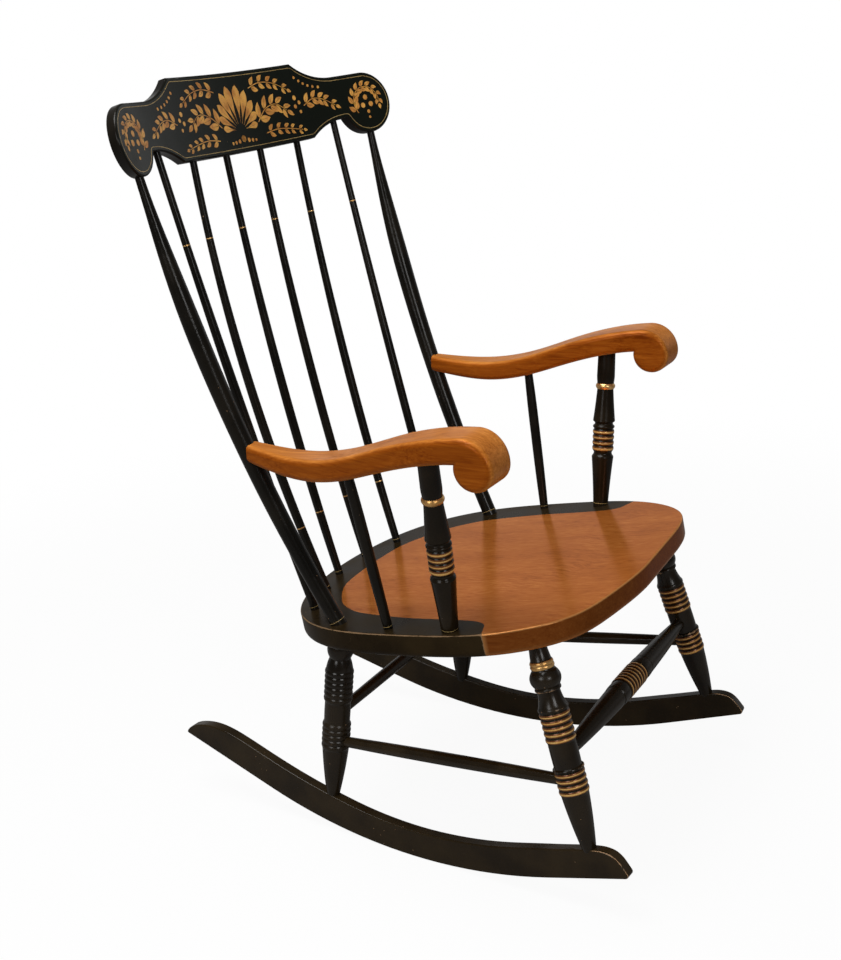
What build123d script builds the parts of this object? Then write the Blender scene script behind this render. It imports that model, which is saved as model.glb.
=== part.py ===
from build123d import *
from math import cos, radians, sin, sqrt
import os

os.makedirs("parts", exist_ok=True)

# Arm rocking chair with a bent spindle back, in millimetres.
# +Z is up and the sitter faces -Y, so the sitter's left is +X. The chair is symmetric about x = 0.
# Until the last step, y = 0 is 3.8 mm behind the place where the runners touch the floor at rest.

# Glued round joints
GAP = 0.1                  # radial play of a tenon in its socket
END_GAP = 1.0              # room left behind the end of a tenon
ROD_PLAY = 0.2             # more radial play for the tenons of the bent rods
EASE = 1.0                 # relief of the mouths of the sockets in the upper face of the seat

# Runners: they toe in towards the back. The rolling edge is an arc that runs out straight at both ends.
ROLL_R = 790.0             # radius of the rolling edge
ROLL_Y = -3.8              # lowest point of the rolling edge, under the chair's balance point
ROLL_LOW = -6.0            # height of that point before the chair is set on the floor
ROLL_FRONT = -232.0        # ends of the arc
ROLL_BACK = 245.0
RUNNER_T = 17.0
RUNNER_X = 217.5           # from the middle of the chair to the runner's middle plane, at y = 0
RUNNER_TOE = 4.1           # degrees
RUNNER_FRONT = -357.5
RUNNER_BACK = 411.5
RUNNER_EDGE = 2.0          # rounding of the long edges
FRONT_TIP = 5.0            # rounding of the two tips
BACK_TIP = 2.5
RUNNER_NOSE = [(-347.5, 77.4), (-341, 85.0), (-334, 90.3), (-325, 93.2), (-314, 93.6), (-300, 91.2)]
RUNNER_UPPER = [(-255, 79.0), (-215, 68.2), (-158, 53.2), (-98, 42.2), (-17, 36.2), (25, 37.4), (68, 41.6)]
RUNNER_UPPER += [(111, 48.9), (160, 59.6), (207, 72.2), (252, 86.5), (298, 102.0)]
RUNNER_TAIL = [(328, 110.0), (352, 112.6), (372, 111.0), (386, 107.8), (399, 102.4)]

# Seat plank
SEAT_TILT = 9.05           # degrees, lower at the back
SEAT_Y = -33.4             # the seat's own origin on its upper face
SEAT_Z = 367.2
SEAT_T = 33.0
SEAT_TOP_EDGE = 5.0
SEAT_LOW_EDGE = 9.0
SEAT_SIDE = [(131, -257), (206, -234), (250, -185), (273, -115), (276, -50)]
SEAT_REAR = [(272, 25), (258, 108), (221, 179), (155, 229), (72, 254)]
SEAT_FRONT = -265.0
SEAT_BACK = 260.0

# Legs: a point of the axis where the leg meets its runner, and the axis' slopes per unit of height
FRONT_FOOT = Vector(238.5, -293.7, 87.9)
FRONT_SLOPE = (-0.0909, 0.2812)
REAR_FOOT = Vector(206.5, 132.3, 50.0)
REAR_SLOPE = (-0.0788, -0.1016)
FOOT_R = 8.4
FOOT_DROP = 8.0            # the turning starts this far below the foot point, before it is fitted
FOOT_TENON_R = 5.0
FOOT_TENON = 20.0          # end of the tenon below the foot point
FRONT_NECK_R = 11.0        # the legs' tops, which go into the seat
REAR_NECK_R = 14.0
NECK_CLEAR = 4.0           # the front necks are straight this far below the seat
SEAT_SOCKET = 21.0         # depth of every socket in the seat

# Stretchers, placed by the distance up the leg's axis
FRONT_STRETCHER_AT = 131.0
REAR_STRETCHER_AT = 133.0
SIDE_FRONT_AT = 94.5
SIDE_REAR_AT = 89.5
STRETCHER_TENON = 14.0     # depth in the leg
LEG_DRUM_R = 19.3
FRONT_DRUM_R = 18.7
REAR_DRUM_R = 19.0

# Back: crest rail bent about an axis in front of it, leaning back
CREST_LEAN = 13.0          # degrees
CREST_R = 950.0            # radius of the front face
CREST_T = 16.0
CREST_Y = 327.8            # middle of the front face at the height CREST_Z
CREST_Z = 980.0
CREST_TOP = 105.5          # heights on the board, up from CREST_Z
CREST_LOW = -11.0
CREST_TOP_HALF = 149.0     # half length of the straight upper edge
CREST_LOW_HALF = 163.0
EAR_X = 286.4
EAR_H = 26.4
EAR_R = 47.8
SHOULDER_X = 232.0         # where the shoulder's hollow runs level
SHOULDER_H = 75.5
NOTCH_X = 233.0            # where the lower hollow runs level
NOTCH_H = 9.0
CREST_EDGE = 2.5
CREST_SOCKET = 20.0

# Back posts and spindles: places on the seat, places along the crest rail, and the bends back and outwards
POST_SEAT = (234.5, 111.0)
POST_CREST_X = 289.0
POST_BOW = (21.0, 4.0)
POST_RADII = [11.4, 11.6, 12.6, 12.9, 13.2, 12.9, 9.6, 6.0]
SPINDLE_SEAT = [(39.0, 237.5), (104.5, 217.0), (184.2, 185.5)]
SPINDLE_CREST_X = [42.0, 129.0, 219.0]
SPINDLE_BOW = [(11.0, 0.0), (16.9, 9.0), (4.5, 2.0)]
SPINDLE_RADII = [6.0, 6.7, 6.9, 6.7, 6.1, 5.4, 5.1]

# Arms: the upper and lower lines of the side view from the knuckle back, and the plan's two edges
ARM_BACK = 176.0
ARM_TOP = [(-175.6, 666.3), (-131, 660.0), (-62, 641.8), (7, 618.0), (76, 605.0), (135, 605.5)]
ARM_TOP += [(ARM_BACK, 609.5)]
ARM_UNDER = [(ARM_BACK, 584.0), (128, 577.6), (76, 575.4), (7, 586.5), (-62, 608.8), (-131, 626.8)]
ARM_UNDER += [(-168.4, 631.8)]
ARM_OUTER = [(326.0, -228), (326.8, -190), (325.0, -131), (318.5, -62), (307.7, 7), (294.5, 76)]
ARM_OUTER += [(281.8, 135), (272.0, ARM_BACK)]
ARM_INNER = [(243.8, ARM_BACK), (242.4, 110), (243.6, 20), (247.6, -62), (256.0, -131), (266.0, -200)]
ARM_INNER += [(270.0, -228)]
KNUCKLE_FRONT = (-222.0, 626.0)
KNUCKLE_LOW = (-196.0, 600.0)
ARM_EDGE = 8.0
ARM_SOCKET = 14.0

# Turned arm posts and plain arm spindles
ARM_POST_SEAT = (255.5, -80.7)
ARM_POST_TOP = (291.5, -116.2, 633.0)
ARM_POST_FOOT_R = 11.8
ARM_POST_TENON_R = 9.0
ARM_SPINDLE_SEAT = (251.6, 18.0)
ARM_SPINDLE_TOP = (276.0, 16.5, 604.0)
ARM_SPINDLE_R = 7.6

# Screws that hold the arms to the back posts
SCREW_Z = 596.0
SCREW_R = 2.2
SCREW_HEAD_R = 4.4
SCREW_HEAD = 3.0
SCREW_LENGTH = 44.0
SCREW_SET = 11.0           # from the post's axis back to the head

X = Vector(1, 0, 0)
SEAT_UP = Vector(0, sin(radians(SEAT_TILT)), cos(radians(SEAT_TILT)))
SEAT_PLANE = Plane(origin=(0, SEAT_Y, SEAT_Z), x_dir=X, z_dir=SEAT_UP)
CREST_UP = Vector(0, sin(radians(CREST_LEAN)), cos(radians(CREST_LEAN)))
CREST_FRONT = Vector(0, -cos(radians(CREST_LEAN)), sin(radians(CREST_LEAN)))
CREST_ORIGIN = Vector(0, CREST_Y, CREST_Z)


def on_seat(place, depth=0.0):
    """Point of the seat's upper face, or that far under it, from the seat's own x and y."""
    return SEAT_PLANE.from_local_coords(Vector(place[0], place[1], -depth))


def in_crest(x, height):
    """Point inside the crest rail where a rod is set, a little nearer its back."""
    set_r = CREST_R + CREST_T * 0.56
    forward = CREST_R - sqrt(set_r**2 - x**2)
    return CREST_ORIGIN + Vector(x, 0, 0) + CREST_UP * height + CREST_FRONT * forward


def plug(start, direction, radius, length):
    """Round bar from a point along a direction."""
    bar = Cylinder(radius, length, align=(Align.CENTER, Align.CENTER, Align.MIN))
    return Plane(origin=start, z_dir=direction) * bar


def socket(start, direction, radius, depth):
    """Tool that bores the socket of a tenon, started a little outside the wood."""
    way = direction.normalized()
    return plug(start - way * 6, way, radius + GAP, depth + END_GAP + 6)


def eased_socket(start, direction, radius):
    """Socket in the seat's upper face, its mouth eased on the side that the rod leans to."""
    way = direction.normalized()
    mouth = plug(start - way * 6, way, radius + GAP + EASE, 6 + EASE)
    return socket(start, direction, radius, SEAT_SOCKET) + mouth


def turned(first_r, cuts):
    """Round piece along +Z: each cut is its length, the radius at its end and the profile's bulge between."""
    z = 0.0
    r = first_r
    edges = [Line((0, 0), (r, 0))]
    for length, end_r, bulge in cuts:
        if bulge:
            middle = ((r + end_r) / 2 + bulge, z + length / 2)
            edges.append(ThreePointArc((r, z), middle, (end_r, z + length)))
        else:
            edges.append(Line((r, z), (end_r, z + length)))
        z += length
        r = end_r
    edges.append(Line((r, z), (0, z)))
    edges.append(Line((0, z), (0, 0)))
    return revolve(Plane.XZ * make_face(edges), Axis.Z)


def bent_path(start, end, bow):
    """Curve whose middle stands the bow's two parts behind and outside its chord."""
    chord = (end - start).normalized()
    behind = Vector(0, 1, 0) - chord * chord.Y
    middle = (start + end) * 0.5 + behind.normalized() * (2 * bow[0]) + X * (2 * bow[1])
    return Bezier(start, middle, end)


def bent_rod(path, radii, grow=0.0):
    """Steam-bent round rod along a path, with its radii at even steps and a tenon beyond each end."""
    last = len(radii) - 1
    places = [(path @ 0 - (path % 0) * SEAT_SOCKET, path % 0, radii[0])]
    places += [(path @ (i / last), path % (i / last), r) for i, r in enumerate(radii)]
    places += [(path @ 1 + (path % 1) * CREST_SOCKET, path % 1, radii[-1])]
    return loft([Plane(origin=at, z_dir=way) * Circle(r + grow) for at, way, r in places])


def mirrored(solid):
    """The same piece on the sitter's right."""
    return mirror(solid, about=Plane.YZ)


# Runner blank in its own plane: the rolling edge with its straight ends, and the upper edge over both noses
def rolling_z(y):
    """Height of the rolling arc."""
    return ROLL_LOW + ROLL_R - sqrt(ROLL_R**2 - (y - ROLL_Y) ** 2)


def straight_z(y, arc_end):
    """Height of the rolling edge's straight run from an end of the arc."""
    over = arc_end - ROLL_Y
    return rolling_z(arc_end) + (y - arc_end) * over / sqrt(ROLL_R**2 - over**2)


front_tip = (RUNNER_FRONT, straight_z(RUNNER_FRONT, ROLL_FRONT))
back_tip = (RUNNER_BACK, straight_z(RUNNER_BACK, ROLL_BACK))
arc_ends = ((ROLL_FRONT, rolling_z(ROLL_FRONT)), (ROLL_BACK, rolling_z(ROLL_BACK)))
runner_edges = [
    Line(front_tip, arc_ends[0]),
    ThreePointArc(arc_ends[0], (ROLL_Y, ROLL_LOW), arc_ends[1]),
    Line(arc_ends[1], back_tip),
    Spline(back_tip, *reversed(RUNNER_NOSE + RUNNER_UPPER + RUNNER_TAIL), front_tip),
]
runner_face = make_face(runner_edges)
toe = radians(RUNNER_TOE)
runner_side = Plane(origin=(RUNNER_X, 0, 0), x_dir=(-sin(toe), cos(toe), 0), z_dir=(cos(toe), sin(toe), 0))
runner_blank = runner_side * extrude(runner_face, RUNNER_T / 2, both=True)
foot_cutter = runner_side * extrude(runner_face, RUNNER_T, both=True)


def across_runner(blank):
    """Short edges of a runner blank, from its front to its back."""
    short = [e for e in blank.edges() if abs(abs((e % 0.5).dot(runner_side.z_dir)) - 1) < 0.01]
    return sorted(short, key=lambda e: (e @ 0.5).Y)


runner = fillet([across_runner(runner_blank)[0]], FRONT_TIP)
runner = fillet([across_runner(runner)[-1]], BACK_TIP)
short_edges = across_runner(runner)
runner = fillet([e for e in runner.edges() if e not in short_edges], RUNNER_EDGE)

# Seat plank
seat_half = SEAT_SIDE + SEAT_REAR
outline = [(0, SEAT_FRONT)] + seat_half + [(0, SEAT_BACK)] + [(-x, y) for x, y in reversed(seat_half)]
plank = extrude(make_face(Spline(*outline, periodic=True)), -SEAT_T)
plank = fillet(plank.edges().group_by(Axis.Z)[-1], SEAT_TOP_EDGE)
plank = fillet(plank.edges().group_by(Axis.Z)[0], SEAT_LOW_EDGE)
seat = SEAT_PLANE * plank


# Legs
def leg_axis(slope):
    """Direction of a leg, upwards."""
    return Vector(slope[0], slope[1], 1).normalized()


def leg_to_seat(foot, axis):
    """Distance up a leg's axis to the seat's lower face."""
    low = SEAT_PLANE.origin - SEAT_PLANE.z_dir * SEAT_T
    return (low - foot).dot(SEAT_PLANE.z_dir) / axis.dot(SEAT_PLANE.z_dir)


front_axis = leg_axis(FRONT_SLOPE)
rear_axis = leg_axis(REAR_SLOPE)
front_reach = leg_to_seat(FRONT_FOOT, front_axis)
rear_reach = leg_to_seat(REAR_FOOT, rear_axis)

# Front leg from its foot up: taper, four rings, drum, five rings, flare, ball, double ring, neck
front_cuts = [(78.9, 19.0, 1.0)]
front_cuts += [(8.2, 19.0, 1.6)] * 4
front_cuts += [(1, 21.2, 0), (2.6, 21.0, 0.3), (1.2, FRONT_DRUM_R, 0), (34.7, 19.0, 0.2)]
front_cuts += [(8.4, 19.0, 1.6)] * 5
front_cuts += [(1, 20.4, 0), (4.6, 20.0, 0.5), (1.2, 19.2, 0), (20.5, 15.2, -0.8)]
front_cuts += [(1, 17.4, 0), (3.4, 17.6, 0.4), (1.1, 16.6, 0), (23.5, 15.6, 5.0), (1.5, 15.4, 0)]
front_cuts += [(5.4, 15.6, 0.9), (5.4, 14.6, 0.9), (1, 14.0, 0)]
front_neck_length = front_reach - sum(cut[0] for cut in front_cuts)
front_cuts += [(front_neck_length - NECK_CLEAR, FRONT_NECK_R, 0), (NECK_CLEAR + SEAT_SOCKET, FRONT_NECK_R, 0)]

# Rear leg: taper, five rings, drum, six rings, cove, ball and neck
rear_cuts = [(79.4, 19.7, 1.0)]
rear_cuts += [(8.25, 19.7, 1.4)] * 5
rear_cuts += [(1, REAR_DRUM_R, 0), (32.3, REAR_DRUM_R, 0.2), (1, 19.7, 0)]
rear_cuts += [(8.4, 19.7, 1.4)] * 6
rear_cuts += [(17, 15.2, 0.6), (2, 16.2, 0), (26, 14.8, 3.8), (3, REAR_NECK_R, 0)]
rear_cuts += [(rear_reach - sum(cut[0] for cut in rear_cuts) + SEAT_SOCKET, REAR_NECK_R, 0)]


def leg(foot, axis, cuts):
    """Turned leg, with its foot cut to the runner's upper edge and a tenon under it."""
    start = Plane(origin=foot - axis * FOOT_DROP, z_dir=axis)
    body = start * turned(FOOT_R, [(FOOT_DROP, FOOT_R + 1, 0)] + cuts)
    body -= Pos(0, 0, GAP) * foot_cutter
    body = body.solids().sort_by(Axis.Z)[-1]
    return body + plug(foot - axis * FOOT_TENON, axis, FOOT_TENON_R, FOOT_TENON + 8)


front_leg = leg(FRONT_FOOT, front_axis, front_cuts)
rear_leg = leg(REAR_FOOT, rear_axis, rear_cuts)
for foot, axis in ((FRONT_FOOT, front_axis), (REAR_FOOT, rear_axis)):
    runner -= socket(foot + axis * 20, axis * -1, FOOT_TENON_R, FOOT_TENON + 20)

seat_tools = []
front_neck = FRONT_FOOT + front_axis * front_reach
rear_neck = REAR_FOOT + rear_axis * rear_reach
seat_tools.append(socket(front_neck, front_axis, FRONT_NECK_R, SEAT_SOCKET))
seat_tools.append(socket(rear_neck, rear_axis, REAR_NECK_R, SEAT_SOCKET))

# Stretchers. Each starts inside one leg and ends inside the next.
front_low = FRONT_FOOT + front_axis * FRONT_STRETCHER_AT
rear_low = REAR_FOOT + rear_axis * REAR_STRETCHER_AT
side_front = FRONT_FOOT + front_axis * SIDE_FRONT_AT
side_rear = REAR_FOOT + rear_axis * SIDE_REAR_AT
BURIED = STRETCHER_TENON - LEG_DRUM_R    # from a leg's axis to a tenon's end, negative on the near side

# Front stretcher: half of it, then the same cuts the other way round
FRONT_END_R = 9.2
half_front = front_low.X + BURIED
half_cuts = [(STRETCHER_TENON + 3, FRONT_END_R, 0), (half_front - STRETCHER_TENON - 58, 16.2, 0.8)]
half_cuts += [(1.5, 15.0, 0), (1.5, 16.6, 0), (19, 16.6, 0.3), (1.5, 15.8, 0), (0.9, 16.2, 0)]
ring_span = half_front - sum(cut[0] for cut in half_cuts)
ring_cuts = [(2 * ring_span / 7, 16.2, 1.6)] * 7
starts = [FRONT_END_R] + [cut[1] for cut in half_cuts]
back_cuts = [(cut[0], starts[i], cut[2]) for i, cut in reversed(list(enumerate(half_cuts)))]
front_start = Plane(origin=(-half_front, front_low.Y, front_low.Z), z_dir=X)
front_stretcher = front_start * turned(FRONT_END_R, half_cuts + ring_cuts + back_cuts)


# Rear and side stretchers are plain rods
def plain_stretcher(length, end_r, swell):
    """Rod with straight tenons, a little stouter in the middle."""
    tenon = STRETCHER_TENON + 6
    return turned(end_r, [(tenon, end_r, 0), (length - 2 * tenon, end_r, swell), (tenon, end_r, 0)])


REAR_END_R = 8.2
half_rear = rear_low.X + BURIED
rear_start = Plane(origin=(-half_rear, rear_low.Y, rear_low.Z), z_dir=X)
rear_stretcher = rear_start * plain_stretcher(2 * half_rear, REAR_END_R, 0.8)

SIDE_END_R = 7.8
side_way = (side_rear - side_front).normalized()
side_length = (side_rear - side_front).length + 2 * BURIED
side_start = Plane(origin=side_front - side_way * BURIED, z_dir=side_way)
side_stretcher = side_start * plain_stretcher(side_length, SIDE_END_R, 1.5)

front_leg -= plug(front_low + X * (BURIED + END_GAP), X * -1, FRONT_END_R + GAP, 60)
front_leg -= plug(side_front - side_way * (BURIED + END_GAP), side_way, SIDE_END_R + GAP, 60)
rear_leg -= plug(rear_low + X * (BURIED + END_GAP), X * -1, REAR_END_R + GAP, 60)
rear_leg -= plug(side_rear + side_way * (BURIED + END_GAP), side_way * -1, SIDE_END_R + GAP, 60)


# Crest rail: the board's outline pushed through a bent shell
def hollow_r(run, rise):
    """Radius of an arc that starts level and gains the rise over the run."""
    return (run**2 + rise**2) / (2 * rise)


shoulder_r = hollow_r(SHOULDER_X - CREST_TOP_HALF, CREST_TOP - SHOULDER_H)
shoulder_run = (SHOULDER_X - CREST_TOP_HALF) / 2
shoulder_mid = (SHOULDER_X - shoulder_run, SHOULDER_H + shoulder_r - sqrt(shoulder_r**2 - shoulder_run**2))
notch_r = hollow_r(NOTCH_X - CREST_LOW_HALF, NOTCH_H - CREST_LOW)
notch_mid_x = (NOTCH_X + CREST_LOW_HALF) / 2


def notch_h(x):
    """Height of the crest rail's lower hollow."""
    return NOTCH_H - notch_r + sqrt(notch_r**2 - (NOTCH_X - x) ** 2)


ear_low_x = EAR_X - sqrt(EAR_R**2 - (EAR_H - NOTCH_H) ** 2)
ear_low_mid = (EAR_X - EAR_R * 0.78, EAR_H - EAR_R * 0.6258)
half_edges = [
    Line((0, CREST_TOP), (CREST_TOP_HALF, CREST_TOP)),
    ThreePointArc((CREST_TOP_HALF, CREST_TOP), shoulder_mid, (SHOULDER_X, SHOULDER_H)),
    Line((SHOULDER_X, SHOULDER_H), (EAR_X, EAR_H + EAR_R)),
    ThreePointArc((EAR_X, EAR_H + EAR_R), (EAR_X + EAR_R, EAR_H), (EAR_X, EAR_H - EAR_R)),
    ThreePointArc((EAR_X, EAR_H - EAR_R), ear_low_mid, (ear_low_x, NOTCH_H)),
    Line((ear_low_x, NOTCH_H), (NOTCH_X, NOTCH_H)),
    ThreePointArc((NOTCH_X, NOTCH_H), (notch_mid_x, notch_h(notch_mid_x)), (CREST_LOW_HALF, CREST_LOW)),
    Line((CREST_LOW_HALF, CREST_LOW), (0, CREST_LOW)),
]
half_board = make_face(half_edges + [Line((0, CREST_LOW), (0, CREST_TOP))])
board = half_board + mirror(half_board, about=Plane.YZ)
board_plane = Plane(origin=CREST_ORIGIN, x_dir=X, z_dir=CREST_FRONT)
bend_plane = Plane(origin=CREST_ORIGIN + CREST_FRONT * CREST_R, x_dir=X, z_dir=CREST_UP)
shell = Cylinder(CREST_R + CREST_T, 500) - Cylinder(CREST_R, 500)
crest = (board_plane * extrude(board, 200, both=True)) & (bend_plane * shell)
crest = crest.solids().sort_by(Axis.Y)[-1]
across = [e for e in crest.edges() if abs((e % 0.5).dot(CREST_FRONT)) > 0.9]
crest = fillet([e for e in crest.edges() if e not in across], CREST_EDGE)

# Back posts and spindles
POST_CREST_H = EAR_H - sqrt(EAR_R**2 - (POST_CREST_X - EAR_X) ** 2)
post_ends = (on_seat(POST_SEAT), in_crest(POST_CREST_X, POST_CREST_H))
post_path = bent_path(*post_ends, POST_BOW)
post_down = post_path % 0
post_up = post_path % 1
post = bent_rod(post_path, POST_RADII)
seat_tools.append(eased_socket(post_ends[0], post_down * -1, POST_RADII[0] + ROD_PLAY))
crest_tools = [socket(post_ends[1], post_up, POST_RADII[-1] + ROD_PLAY, CREST_SOCKET)]

spindles = []
for place, top_x, bow in zip(SPINDLE_SEAT, SPINDLE_CREST_X, SPINDLE_BOW):
    top_h = notch_h(top_x) if top_x > CREST_LOW_HALF else CREST_LOW
    low = on_seat(place)
    high = in_crest(top_x, top_h)
    path = bent_path(low, high, bow)
    way_in = path % 0
    way_out = path % 1
    spindles.append(bent_rod(path, SPINDLE_RADII))
    seat_tools.append(eased_socket(low, way_in * -1, SPINDLE_RADII[0] + ROD_PLAY))
    crest_tools.append(socket(high, way_out, SPINDLE_RADII[-1] + ROD_PLAY, CREST_SOCKET))


# Arms: side profile with a scrolled knuckle, cut to the plan's outline
def round_arm(blank):
    """Arm with its long edges rounded."""
    along = [e for e in blank.edges() if (e @ 0.5).Y < ARM_BACK - 1 and abs((e % 0.5).X) < 0.7]
    return fillet(along, ARM_EDGE)


side_edges = [
    Spline(*ARM_TOP),
    Line(ARM_TOP[-1], ARM_UNDER[0]),
    Spline(*ARM_UNDER),
    ThreePointArc(ARM_UNDER[-1], (-176.2, 608.2), KNUCKLE_LOW),
    ThreePointArc(KNUCKLE_LOW, (-214.4, 607.6), KNUCKLE_FRONT),
    ThreePointArc(KNUCKLE_FRONT, (-210.1, 654.8), ARM_TOP[0]),
]
side_form = Plane.YZ * extrude(make_face(side_edges), 400)
plan_edges = [Spline(*ARM_OUTER), Line(ARM_OUTER[-1], ARM_INNER[0])]
plan_edges += [Spline(*ARM_INNER), Line(ARM_INNER[-1], ARM_OUTER[0])]
arm_blank = side_form & Pos(0, 0, 500) * extrude(make_face(plan_edges), 300)
arm_blank = round_arm(arm_blank.solids()[0])
post_room = bent_rod(post_path, POST_RADII, grow=GAP)
arm = arm_blank - post_room

# Turned arm posts: from the seat up a taper, a cove, four rings, a bead, a flared vase, a neck ring, a plug
arm_post_low = on_seat(ARM_POST_SEAT)
arm_post_way = (Vector(*ARM_POST_TOP) - arm_post_low).normalized()
arm_post_cuts = [(SEAT_SOCKET + 4, ARM_POST_FOOT_R, 0), (74, 17.0, -0.4), (3.5, 16.2, 0.4), (7.5, 15.4, -1.6)]
arm_post_cuts += [(8.7, 15.4, 1.5)] * 4
arm_post_cuts += [(0.8, 14.8, 0), (6.4, 14.8, 2.3), (3.5, 14.6, -0.5), (2.5, 17.3, 0.3)]
arm_post_cuts += [(50.5, 12.7, -0.3), (9.6, 13.0, 2.3), (12, 14.0, 0.2), (50, 13.2, 0)]
arm_post_start = Plane(origin=arm_post_low - arm_post_way * SEAT_SOCKET, z_dir=arm_post_way)
arm_post = arm_post_start * turned(ARM_POST_FOOT_R, arm_post_cuts)
arm_post -= Pos(0, 0, -GAP) * arm_blank
arm_post = arm_post.solids().sort_by(Axis.Z)[0]
arm_post_tenon = Vector(*ARM_POST_TOP) - arm_post_way * 26
arm_post += plug(arm_post_tenon, arm_post_way, ARM_POST_TENON_R, 26 + ARM_SOCKET - 4)
arm -= plug(arm_post_tenon, arm_post_way, ARM_POST_TENON_R + GAP, 26 + ARM_SOCKET - 4 + END_GAP)
seat_tools.append(eased_socket(arm_post_low, arm_post_way * -1, ARM_POST_FOOT_R))

# Plain arm spindles, tapered towards both ends
arm_spindle_low = on_seat(ARM_SPINDLE_SEAT)
arm_spindle_top = Vector(*ARM_SPINDLE_TOP)
arm_spindle_way = (arm_spindle_top - arm_spindle_low).normalized()
spindle_rise = (arm_spindle_top - arm_spindle_low).length
arm_spindle_cuts = [(SEAT_SOCKET + 4, 6.4, 0), (spindle_rise / 2, ARM_SPINDLE_R, 0.4)]
arm_spindle_cuts += [(spindle_rise / 2 - 30, 6.6, 0.4), (26, 6.6, 0)]
arm_spindle_start = Plane(origin=arm_spindle_low - arm_spindle_way * SEAT_SOCKET, z_dir=arm_spindle_way)
arm_spindle = arm_spindle_start * turned(6.4, arm_spindle_cuts)
arm -= plug(arm_spindle_top - arm_spindle_way * 40, arm_spindle_way, 6.6 + GAP, 40 + END_GAP)
seat_tools.append(eased_socket(arm_spindle_low, arm_spindle_way * -1, 6.4))

# Arm screws: through the back post into the arm's end, with a countersunk head
screw_at = post_path @ ((SCREW_Z - post_ends[0].Z) / (post_ends[1].Z - post_ends[0].Z))
forward = Vector(0, -1, 0)
screw_start = screw_at - forward * SCREW_SET
screw_cuts = [(0.6, SCREW_HEAD_R, 0), (SCREW_HEAD, SCREW_R, 0), (SCREW_LENGTH - 8, SCREW_R, 0), (8, 0.4, 0)]
screw = Plane(origin=screw_start, z_dir=forward) * turned(SCREW_HEAD_R, screw_cuts)
room_cuts = [(8.6, SCREW_HEAD_R + GAP, 0), (SCREW_HEAD, SCREW_R + GAP, 0), (SCREW_LENGTH, SCREW_R + GAP, 0)]
screw_room = Plane(origin=screw_start - forward * 8, z_dir=forward) * turned(SCREW_HEAD_R + GAP, room_cuts)
post -= screw_room
arm -= screw_room

# Sockets in the seat and in the crest rail, on both sides
for tool in seat_tools:
    seat -= [tool, mirrored(tool)]
for tool in crest_tools:
    crest -= [tool, mirrored(tool)]

pieces = {
    "seat": seat,
    "front_stretcher": front_stretcher,
    "rear_stretcher": rear_stretcher,
    "crest_rail": crest,
    "arm_screws": Compound([screw, mirrored(screw)]),
}
pairs = {
    "runner": runner,
    "front_leg": front_leg,
    "rear_leg": rear_leg,
    "side_stretcher": side_stretcher,
    "back_post": post,
    "arm": arm,
    "arm_post": arm_post,
    "arm_spindle": arm_spindle,
}
for name, solid in pairs.items():
    pieces[name + "_left"] = solid
    pieces[name + "_right"] = mirrored(solid)
for number, rod in enumerate(spindles, start=1):
    pieces[f"spindle_{4 - number}"] = mirrored(rod)
    pieces[f"spindle_{3 + number}"] = rod

# The origin is on the floor under the middle of the whole chair
whole = Compound([solid for piece in pieces.values() for solid in piece.solids()])
box = whole.bounding_box()
to_origin = Pos(0, -(box.min.Y + box.max.Y) / 2, -box.min.Z)
for name, piece in pieces.items():
    export_step(to_origin * piece, f"parts/{name}.step")

balance = whole.center(CenterOf.MASS)
print("pieces", len(pieces), "size", round(box.size.X, 1), round(box.size.Y, 1), round(box.size.Z, 1))
print("moved by", round(-(box.min.Y + box.max.Y) / 2, 3), round(-box.min.Z, 3))
print("lowest point at y", ROLL_Y, "balance at y", round(balance.Y, 1), "height", round(balance.Z, 1))
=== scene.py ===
"""Looks of an arm rocking chair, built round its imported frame."""

import cmath
import logging
import math
from dataclasses import dataclass, field
from enum import Enum, IntEnum
from typing import Callable, Mapping, Sequence, Union

import bpy
import numpy as np
from mathutils import Matrix, Vector
from mathutils.geometry import convex_hull_2d


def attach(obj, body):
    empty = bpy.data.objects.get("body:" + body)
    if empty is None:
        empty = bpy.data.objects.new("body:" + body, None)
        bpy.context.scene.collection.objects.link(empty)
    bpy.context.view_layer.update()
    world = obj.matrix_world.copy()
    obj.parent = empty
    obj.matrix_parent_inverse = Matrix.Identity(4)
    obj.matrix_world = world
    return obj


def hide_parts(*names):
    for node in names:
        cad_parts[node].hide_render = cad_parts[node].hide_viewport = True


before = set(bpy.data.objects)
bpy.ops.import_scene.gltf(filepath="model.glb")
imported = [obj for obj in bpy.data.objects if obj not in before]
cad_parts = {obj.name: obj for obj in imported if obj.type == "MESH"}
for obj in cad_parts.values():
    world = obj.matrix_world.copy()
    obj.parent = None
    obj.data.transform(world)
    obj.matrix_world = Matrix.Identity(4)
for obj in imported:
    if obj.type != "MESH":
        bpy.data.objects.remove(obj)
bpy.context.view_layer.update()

LOG = logging.getLogger("rocking_chair")

Colour = tuple[float, float, float]
Place = tuple[float, float, float]
Flat = tuple[float, float]
Tree = bpy.types.NodeTree
Node = bpy.types.Node
Socket = bpy.types.NodeSocket
Material = bpy.types.Material
Value = Union[float, Sequence[float], Socket]
Key = Union[int, str]

MM = 0.001
DEPTH_MID = 28.358       # workshop y of the middle of the chair's box, in millimetres
FLOOR_DROP = 6.0         # workshop height 0 lies this far above the floor
FAR = 1e6                # penalty that rules a point out of a search
TINY = 1e-9              # keeps a division away from zero
BODY = "root"
WOOD_SLOT = "clear_finished_wood"
BLACK_SLOT = "black_painted_wood"


class Side(Enum):
    """The sitter's two sides, as the sign of x."""

    LEFT = 1
    RIGHT = -1

    @property
    def tag(self) -> str:
        """Last word of the names of that side's pieces."""
        return self.name.lower()


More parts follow.
